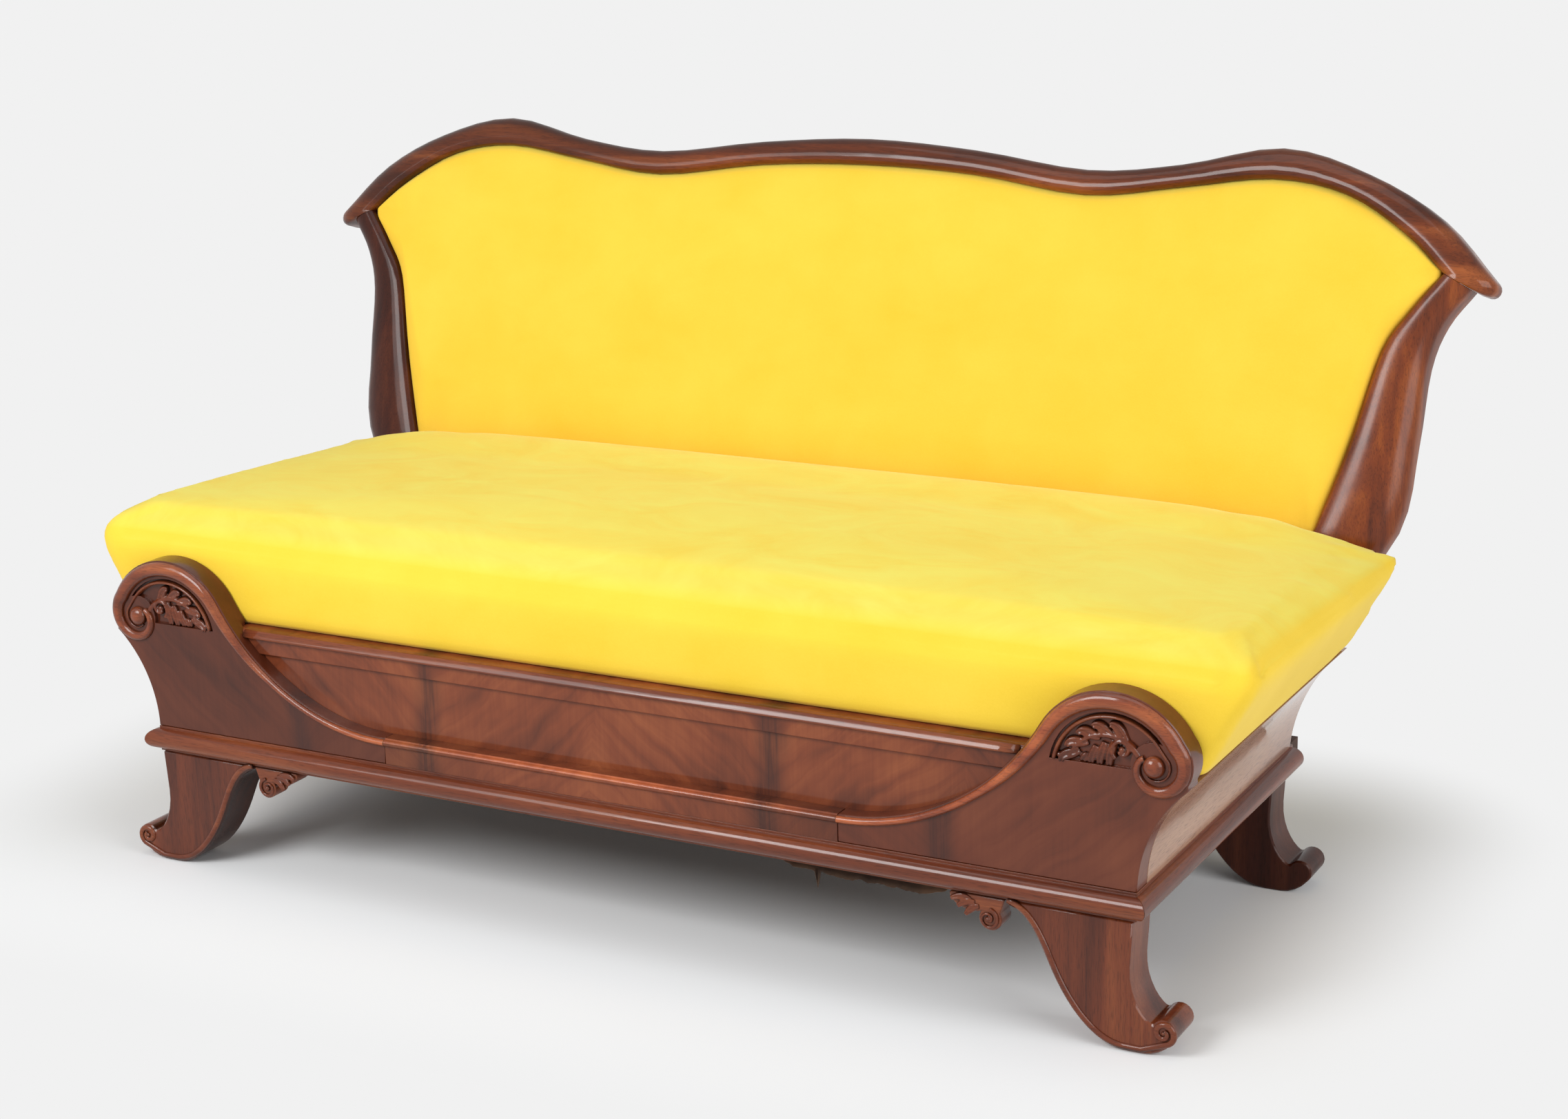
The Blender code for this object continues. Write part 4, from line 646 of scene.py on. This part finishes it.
# back cover: velvet over thin stuffing, tacked inside the frame on the outline of the hessian behind it
backLook = {"columns": 150, "rows": 46, "bulge": 0.0, "lap": 0.0012, "crown": 0.0155, "edge": 0.0262,
            "pressure": 4.0, "tension": 12.0, "steps": 10, "reach": 0.0035, "fill": 0.8}
rearGrid = rakedGrid("back_hessian", backLook)
frontGrid = []
for i, column in enumerate(rearGrid):
    across = 2 * i / backLook["columns"] - 1
    lifts = [(1 - across ** 6) * (1 - (2 * j / backLook["rows"] - 1) ** 6) for j in range(len(column))]
    frontGrid.append([p - rearward * (backLook["edge"] + backLook["crown"] * lift)
                      for p, lift in zip(column, lifts)])
backCover = addPiece("backCover", twoFaced("backCover", rearGrid, frontGrid), backVelvet)
facing = points(backCover, "normal") @ -np.array(rearward)
swell(backCover, 1 - ramp(facing, 0.75, 0.98), backLook)
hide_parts("back_pad")
print("back cover:", len(backCover.data.vertices), "points")

# outside back: one piece of the same velvet, pulled flat and nailed behind the frame
outsideLook = {"columns": 120, "rows": 40, "bulge": 0.002, "lap": 0.0, "thickness": 0.0012,
               "flat": (1.60, 0.47)}
outsideGrid = rakedGrid("back_lining", outsideLook)
outsideBack = clothPiece("outsideBack", outsideGrid, outsideLook, velvet)
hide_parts("back_lining")

# hessian behind the back's stuffing
hessianLook = {"columns": 80, "rows": 24, "bulge": 0.0, "lap": 0.0, "thickness": 0.0012,
               "flat": (1.57, 0.44)}
hessianGrid = rakedGrid("back_hessian", hessianLook)
backHessian = clothPiece("backHessian", hessianGrid, hessianLook, hessian)
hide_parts("back_hessian")


def levelGrid(nodeName, columns, rows, lift):
    low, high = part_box(nodeName)
    grid = []
    for i in range(columns + 1):
        column = []
        for j in range(rows + 1):
            x = low.x + (high.x - low.x) * i / columns
            y = low.y + (high.y - low.y) * j / rows
            column.append(Vector((x, y, (low.z + high.z) / 2 + lift(i / columns, j / rows, x, y))))
        grid.append(column)
    return grid


# hessian over the springs, dimpled between them
springTops = [(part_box(n)[0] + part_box(n)[1]) / 2 for n in nodes if n.startswith("seat_spring")]
springLook = {"columns": 120, "rows": 40, "coil": 0.045, "slope": 0.05, "dip": 0.0012,
              "thickness": 0.0011, "flat": (1.31, 0.41)}


def overSprings(i, j, x, y):
    near = min(math.hypot(x - top.x, y - top.y) for top in springTops)
    between = min(1.0, max(0.0, near - springLook["coil"]) / springLook["slope"])
    inside = min(1.0, 8 * min(i, 1 - i, j, 1 - j))      # flat along the nailed edges
    return -springLook["dip"] * between * inside


springGrid = levelGrid("spring_hessian", springLook["columns"], springLook["rows"], overSprings)
springHessian = clothPiece("springHessian", springGrid, springLook, hessian)
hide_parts("spring_hessian")

# dust cover: thin brown lining tacked under the frame, come loose and frayed along part of its front edge
dustLook = {
    "columns": 256, "rows": 120, "sag": 0.007, "fray": 0.0035, "flap": 0.034, "thickness": 0.0008,
    "loose": ((0.20, 0.0), (0.235, 0.0125), (0.30, 0.0158), (0.41, 0.0178), (0.43, 0.008), (0.445, 0.0)),
    "strand": (0.267, 0.036), "strandHalf": 0.0021, "flat": (1.023, 0.476),
}


def hanging(i, j, x, y):
    sag = dustLook["sag"] * (math.sin(math.pi * i) * math.sin(math.pi * j)) ** 0.7
    drop = float(np.interp(x, *zip(*dustLook["loose"])))
    coarse, fine = noise.noise((x * 60, 0.0, 3.7)), noise.noise((x * 210, 0.0, 1.2))
    drop += dustLook["fray"] * (0.5 + coarse + 0.6 * fine)
    if abs(x - dustLook["strand"][0]) < dustLook["strandHalf"] and j == 0:
        drop = dustLook["strand"][1]
    return -sag - max(0.0, 1 - j / dustLook["flap"]) * drop


dustGrid = levelGrid("dust_cover", dustLook["columns"], dustLook["rows"], hanging)
dustCover = clothPiece("dustCover", dustGrid, dustLook, cotton)
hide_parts("dust_cover")

# webbing: seven straps nailed under the frame, the long ones going over and under the cross ones
webLook = {"step": 0.012, "across": 6, "weave": 0.0006, "crossing": 0.03, "thickness": 0.0015}
crossNames = [f"cross_webbing_{i}" for i in range(1, 6)]
longNames = ["long_webbing_1", "long_webbing_2"]
for name in crossNames + longNames:
    low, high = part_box(name)
    run = 1 if name in crossNames else 0
    others = longNames if run else crossNames
    middles = [(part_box(o)[0][run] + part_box(o)[1][run]) / 2 for o in others]
    count = round((high[run] - low[run]) / webLook["step"])

    def woven(i, j, x, y):
        here = (x, y)[run]
        lift = 0.0
        for k, middle in enumerate(middles):
            over = (-1) ** (k + int(name[-1]) + run)
            lift += over * webLook["weave"] * math.exp(-((here - middle) / webLook["crossing"]) ** 2)
        return lift

    counts = (webLook["across"], count) if run else (count, webLook["across"])
    strap = clothPiece("strap_" + name, levelGrid(name, *counts, woven), webLook, jute)
    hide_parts(name)
print("inside cloth made")


def pointAt(centre, reach, degrees):
    angle = math.radians(degrees)
    return centre[0] + reach * math.cos(angle), centre[1] + reach * math.sin(angle)


def turnRound(centre, radius, start, end, count):
    # points on an arc or spiral in (x, z); radius may be one length or a (first, last) pair
    first, last = radius if isinstance(radius, tuple) else (radius, radius)
    shares = [i / count for i in range(count + 1)]
    return [pointAt(centre, first + (last - first) * s, start + (end - start) * s) for s in shares]


def sweep(start, leaving, end, arriving, count, pull=0.34):
    # curve between two points with given headings in degrees
    chord = math.dist(start, end) * pull
    one, two = pointAt(start, chord, leaving), pointAt(end, -chord, arriving)
    found = []
    for i in range(count + 1):
        t = i / count
        weights = ((1 - t) ** 3, 3 * t * (1 - t) ** 2, 3 * t * t * (1 - t), t ** 3)
        found.append(tuple(sum(w * p[k] for w, p in zip(weights, (start, one, two, end))) for k in (0, 1)))
    return found


hands = (("Left", -1), ("Right", 1))
halfRound = [(-1.0, 0.0), (-0.9, 0.44), (-0.62, 0.78), (-0.25, 0.97),
             (0.25, 0.97), (0.62, 0.78), (0.9, 0.44), (1.0, 0.0)]
veinedLobe = [(-1.0, 0.0), (-0.88, 0.55), (-0.6, 0.95), (-0.3, 0.9), (0.0, 0.62), (0.3, 0.9), (0.6, 0.95),
              (0.88, 0.55), (1.0, 0.0)]


def skin(bm, rings):
    # faces between rings, and a cap at each end
    for one, two in zip(rings, rings[1:]):
        for a in range(len(one)):
            b = (a + 1) % len(one)
            bm.faces.new((one[a], one[b], two[b], two[a]))
    bm.faces.new(rings[0])
    bm.faces.new(rings[-1])


def runAt(path, i):
    before, after = path[max(i - 1, 0)], path[min(i + 1, len(path) - 1)]
    return Vector((after[0] - before[0], after[1] - before[1])).normalized()


def ridge(bm, path, width, height, face, under, section=halfRound, side=1):
    # carved ridge along a path on a face that looks to the front; width and height go with the share run
    rings = []
    last = len(path) - 1
    for i, here in enumerate(path):
        run = runAt(path, i)
        half, rise = width(i / last) / 2, height(i / last)
        ring = []
        for across, lift in [(-1.0, None), *section, (1.0, None)]:
            x, z = here[0] - run.y * across * half, here[1] + run.x * across * half
            ring.append(bm.verts.new((side * x, face + under if lift is None else face - rise * lift, z)))
        rings.append(ring)
    skin(bm, rings)


def knob(bm, centre, radius, rise, face, under, side=1):
    rings = []
    for turn in (None, 0, 22, 45, 66, 84):
        reach = radius * (1.0 if turn is None else math.cos(math.radians(turn)))
        y = face + under if turn is None else face - rise * math.sin(math.radians(turn))
        rings.append([bm.verts.new((side * x, y, z)) for x, z in turnRound(centre, reach, 0, 360, 18)[:-1]])
    skin(bm, rings)


def carved(name, bm, finish, voxel=0.0, smooth=0):
    bmesh.ops.recalc_face_normals(bm, faces=bm.faces)
    piece = addPiece(name, meshFrom(name, bm), finish)
    if voxel:
        modify(piece, "one carving", "REMESH", mode="VOXEL", voxel_size=voxel)
        modify(piece, "worn soft", "SMOOTH", iterations=smooth)
        settleModifiers(piece)
        piece.data.shade_smooth()
    return piece


# leaf in the hollow of each scroll board: a bent midrib, flutes that hang from it, curled lobes over it
leafLook = {
    "dome": (0.636, 0.3101), "hollow": 0.005, "level": 0.3215, "rib": 0.0400, "from": 40, "to": 168,
    "flutes": ((-0.0330, 5.2), (-0.0235, 6.0), (-0.0135, 6.6), (-0.0030, 6.6)),
    "lobes": (84, 104, 124, 144, 163), "lobeReach": 0.0575,
    "pearls": ((-0.0600, 0.0160, 0.0038), (-0.0515, 0.0150, 0.0030)),
    "curl": (0.0120, 0.0310), "curlReach": (0.0125, 0.0040), "curlButton": (0.0052, 0.0072),
    "sunk": 0.002, "voxel": 0.0008, "smooth": 4,
}
hollowY = faceY + leafLook["hollow"]
domeX, domeZ = leafLook["dome"]
curlAt = (domeX + leafLook["curl"][0], domeZ + leafLook["curl"][1])
leafDepth = leafLook["sunk"]
for hand, side in hands:
    bm = bmesh.new()
    rib = turnRound(leafLook["dome"], (leafLook["rib"], leafLook["rib"] + 0.012), leafLook["from"],
                    leafLook["to"], 26)
    ridge(bm, rib, lambda t: 0.0095 - 0.005 * t, lambda t: 0.0070 - 0.0022 * t, hollowY, leafDepth,
          side=side)
    for across, rise in leafLook["flutes"]:
        top = (domeX + across + 0.006, domeZ + math.sqrt(leafLook["rib"] ** 2 - across ** 2) - 0.001)
        foot = (domeX + across, leafLook["level"])
        flute = sweep(top, -105, foot, -88, 12)
        ridge(bm, flute, lambda t: 0.0070 + 0.0042 * math.sin(math.pi * (0.15 + 0.75 * t)),
              lambda t: rise / 1000 * (0.55 + 0.45 * math.sin(math.pi * (0.1 + 0.8 * t))), hollowY,
              leafDepth, veinedLobe, side)
    for angle in leafLook["lobes"]:
        root = pointAt(leafLook["dome"], leafLook["rib"] + 0.004, angle - 16)
        tip = pointAt(leafLook["dome"], leafLook["lobeReach"], angle + 8)
        lobe = sweep(root, angle + 62, tip, angle + 112, 14, 0.40)
        ridge(bm, lobe, lambda t: 0.0060 + 0.0080 * math.sin(math.pi * min(1.0, 0.10 + 0.86 * t)),
              lambda t: 0.0040 + 0.0036 * t, hollowY, leafDepth, veinedLobe, side)
    curl = turnRound(curlAt, leafLook["curlReach"], 235, -150, 30)
    ridge(bm, curl, lambda t: 0.0066 - 0.0016 * t, lambda t: 0.0078, hollowY, leafDepth, side=side)
    knob(bm, curlAt, *leafLook["curlButton"], hollowY, leafDepth, side)
    for across, up, radius in leafLook["pearls"]:
        knob(bm, (domeX + across, domeZ + up), radius, radius + 0.0022, hollowY, leafDepth, side)
    carved("carvedLeaf" + hand, bm, carvedWood, leafLook["voxel"], leafLook["smooth"])

# thin second bead inside the wide one, winding with it to the eye
windLook = {
    "eye": (0.684, 0.328), "domeRadius": 0.0945, "inset": 0.0015, "wide": 0.0185, "tail": 0.0075,
    "turn": 265, "close": 0.0185, "ease": 1.35, "taper": 0.8, "gap": 0.0052,
    "width": 0.0056, "proud": 0.0030, "until": 0.62, "leaves": 30, "count": 36,
}
ringRadius = (windLook["domeRadius"] - windLook["inset"] - windLook["wide"] - windLook["gap"]
              - windLook["width"] / 2)
domeEnd = pointAt(leafLook["dome"], windLook["domeRadius"], windLook["leaves"])
eye = windLook["eye"]
firstReach = math.dist(domeEnd, eye)
firstAngle = math.degrees(math.atan2(domeEnd[1] - eye[1], domeEnd[0] - eye[0]))
thinBead = turnRound(leafLook["dome"], ringRadius, 170, 34, 46)
for i in range(1, windLook["count"] + 1):
    share = windLook["until"] * i / windLook["count"]
    wide = windLook["wide"] + (windLook["tail"] - windLook["wide"]) * share ** windLook["taper"]
    reach = firstReach + (windLook["close"] - firstReach) * share ** windLook["ease"]
    reach -= windLook["inset"] + wide + windLook["gap"] * (1 - 0.8 * share) + windLook["width"] / 2
    thinBead.append(pointAt(eye, reach, firstAngle - windLook["turn"] * share))
for hand, side in hands:
    bm = bmesh.new()
    ridge(bm, thinBead, lambda t: windLook["width"] * (1 - 0.55 * t ** 3),
          lambda t: windLook["proud"] + 0.0050, hollowY, 0.001, side=side)
    carved("thinBead" + hand, bm, beadWood)

# small ogee along the top of the band under the seat, its broad face turned up
bandLook = {"width": 0.0100, "proud": 0.0057, "short": 0.006}
tiltedRound = [(-1.0, 0.0), (-0.95, 0.75), (-0.8, 0.97), (-0.65, 1.0), (-0.5, 0.97),
               (-0.05, 0.74), (0.4, 0.46), (0.8, 0.16), (0.95, 0.05), (1.0, 0.0)]
low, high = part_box("front_rail_band")
bm = bmesh.new()
level = high.z - bandLook["width"] / 2
length = high.x - low.x - 2 * bandLook["short"]
ridge(bm, [(low.x + bandLook["short"] + length * i / 40, level) for i in range(41)],
      lambda t: bandLook["width"], lambda t: bandLook["proud"], low.y, 0.001, tiltedRound)
carved("bandRound", bm, beadWood)

# raised bead down the inner edge of each front foot, along the sole, curling up on the front of the toe
carvingDepth = 0.0015           # how far the feet's and brackets' carving goes into the wood
footBeadLook = {"inset": 0.0056, "width": 0.0072, "proud": 0.0030, "button": 0.0026,
                "top": (0.5165, 0.1455), "bend": (0.5675, 0.080), "sole": ((0.655, 0.0), (0.674, 0.0)),
                "toe": (0.699, 0.029), "toeReach": (0.0128, 0.0030)}
inner = sweep(footBeadLook["top"], -11, footBeadLook["bend"], -65, 16)
inner += sweep(footBeadLook["bend"], -65, footBeadLook["sole"][0], 0, 22)[1:] + [footBeadLook["sole"][1]]
footBead = []
for i, here in enumerate(inner):
    run = runAt(inner, i)
    footBead.append((here[0] - run.y * footBeadLook["inset"], here[1] + run.x * footBeadLook["inset"]))
footBead += turnRound(footBeadLook["toe"], footBeadLook["toeReach"], -62, 420, 54)
for hand, side in hands:
    bm = bmesh.new()
    ridge(bm, footBead, lambda t: footBeadLook["width"] * (1 - 0.35 * t ** 6),
          lambda t: footBeadLook["proud"], footY, carvingDepth, side=side)
    knob(bm, footBeadLook["toe"], footBeadLook["button"], footBeadLook["button"], footY, carvingDepth, side)
    carved("footBead" + hand, bm, beadWood)

# carving on the small brackets: a wound scroll and three leaf lobes
bracketLook = {"eye": (0.4950, 0.1245), "reach": (0.0122, 0.0034), "width": 0.0042, "proud": 0.0026,
               "button": (0.0036, 0.0042), "voxel": 0.0006, "smooth": 2,
               "lobes": ((0.4840, 0.1375, 0.4685, 0.1260), (0.4790, 0.1415, 0.4590, 0.1345),
                         (0.4735, 0.1440, 0.4510, 0.1425))}
for hand, side in hands:
    bm = bmesh.new()
    scroll = turnRound(bracketLook["eye"], bracketLook["reach"], 80, -420, 56)
    ridge(bm, scroll, lambda t: bracketLook["width"] * (1 - 0.3 * t), lambda t: bracketLook["proud"], footY,
          carvingDepth, side=side)
    knob(bm, bracketLook["eye"], *bracketLook["button"], footY, carvingDepth, side)
    for x0, z0, x1, z1 in bracketLook["lobes"]:
        heading = math.degrees(math.atan2(z1 - z0, x1 - x0))
        lobe = sweep((x0, z0), heading - 30, (x1, z1), heading + 25, 12)
        ridge(bm, lobe, lambda t: 0.0035 + 0.0055 * math.sin(math.pi * min(1.0, 0.1 + 0.8 * t)),
              lambda t: 0.0016 + 0.0024 * t, footY, carvingDepth, veinedLobe, side)
    carved("bracketCarving" + hand, bm, carvedWood, bracketLook["voxel"], bracketLook["smooth"])
print("carving cut")


# pale floor that fades into the white of the world, soft studio light, and the camera of the photo
stageLook = {"floor": "#eef0f1", "far": "#f1f1f1", "reach": 40, "middle": (-0.09, -0.03, 0.0),
             "footprint": (0.70, 0.36, 0.0), "fadeFrom": 0.02, "fadeTo": 0.36, "ambient": 0.26,
             "lit": (0.0, 0.0, 0.4)}
bm = bmesh.new()
bmesh.ops.create_circle(bm, cap_ends=True, radius=stageLook["reach"], segments=64)
floor = newObject("floor", meshFrom("floor", bm))
floor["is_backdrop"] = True
paper, tree, shader, place = newFinish("Studio paper")
centred = put(tree, "VectorMath", {0: place, 1: stageLook["middle"]}, operation="SUBTRACT")
mirrored = put(tree, "VectorMath", {0: centred}, operation="ABSOLUTE")
outside = put(tree, "VectorMath", {0: mirrored, 1: stageLook["footprint"]}, operation="SUBTRACT")
outside = put(tree, "VectorMath", {0: outside}, operation="MAXIMUM")
away = put(tree, "VectorMath", {0: outside}, operation="LENGTH")
fade = put(tree, "MapRange", {"Value": away, "From Min": stageLook["fadeFrom"],
                              "From Max": stageLook["fadeTo"]}, interpolation_type="SMOOTHSTEP")
matt = put(tree, "BsdfDiffuse", {"Color": linear(stageLook["floor"])})
white = put(tree, "Emission", {"Color": linear(stageLook["far"]), "Strength": 1.0})
mixed = put(tree, "MixShader", {0: fade, 1: matt, 2: white})
wire(tree, tree.nodes["Material Output"], {"Surface": mixed})
tree.nodes.remove(shader)
floor.data.materials.append(paper)

world = bpy.data.worlds.new("studio")
scene.world = world
world.use_nodes = True
tree = world.node_tree
tree.nodes.clear()
rays = put(tree, "LightPath").outputs
seen = rays["Is Camera Ray"]
for kind in ("Is Glossy Ray", "Is Transmission Ray"):
    seen = put(tree, "Math", {0: seen, 1: rays[kind]}, operation="MAXIMUM")
lightSky = put(tree, "Background", {"Color": linear("#ffffff"), "Strength": stageLook["ambient"]})
seenSky = put(tree, "Background", {"Color": linear(stageLook["far"]), "Strength": 1.0})
sky = put(tree, "MixShader", {0: seen, 1: lightSky, 2: seenSky})
put(tree, "OutputWorld", {"Surface": sky})

lamps = {
    "keyLeft": {"at": (-0.8, -2.5, 2.05), "size": (1.3, 1.3), "power": 59.0},
    "wingLeft": {"at": (-1.85, -2.45, 2.05), "size": (0.8, 1.3), "power": 13.0},
    "fillRight": {"at": (3.0, -1.0, 1.6), "size": (2.4, 2.0), "power": 52.0},
    "topSoft": {"at": (0.2, -0.4, 3.2), "size": (2.4, 1.6), "power": 15.0},
}
for lampName, lamp in lamps.items():
    data = bpy.data.lights.new(lampName, "AREA")
    data.shape = "RECTANGLE"
    data.size, data.size_y = lamp["size"]
    data.energy = lamp["power"]
    holder = newObject(lampName, data)
    holder.location = lamp["at"]
    aim = Vector(stageLook["lit"]) - Vector(lamp["at"])
    holder.rotation_euler = aim.to_track_quat("-Z", "Y").to_euler()

cameraLook = {"lens": 63.55, "at": (1.65207, -2.56869, 1.31809), "towards": (-0.46142, 0.84581, -0.26776),
              "right": (0.88079, 0.47289, -0.02405)}   # place is measured from the scroll boards' front
cameraData = bpy.data.cameras.new("photoView")
cameraData.lens = cameraLook["lens"]
cameraData.sensor_width = 36.0
cameraData.sensor_fit = "HORIZONTAL"
camera = newObject("photoView", cameraData)
towards = Vector(cameraLook["towards"]).normalized()
right = Vector(cameraLook["right"]).normalized()
turned = Matrix((right, right.cross(towards), -towards)).transposed().to_4x4()
turned.translation = Vector(cameraLook["at"]) + Vector((0.0, faceY, 0.0))
camera.matrix_world = turned
scene.camera = camera
scene.view_settings.view_transform = "Standard"
print("stage set")

low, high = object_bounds()
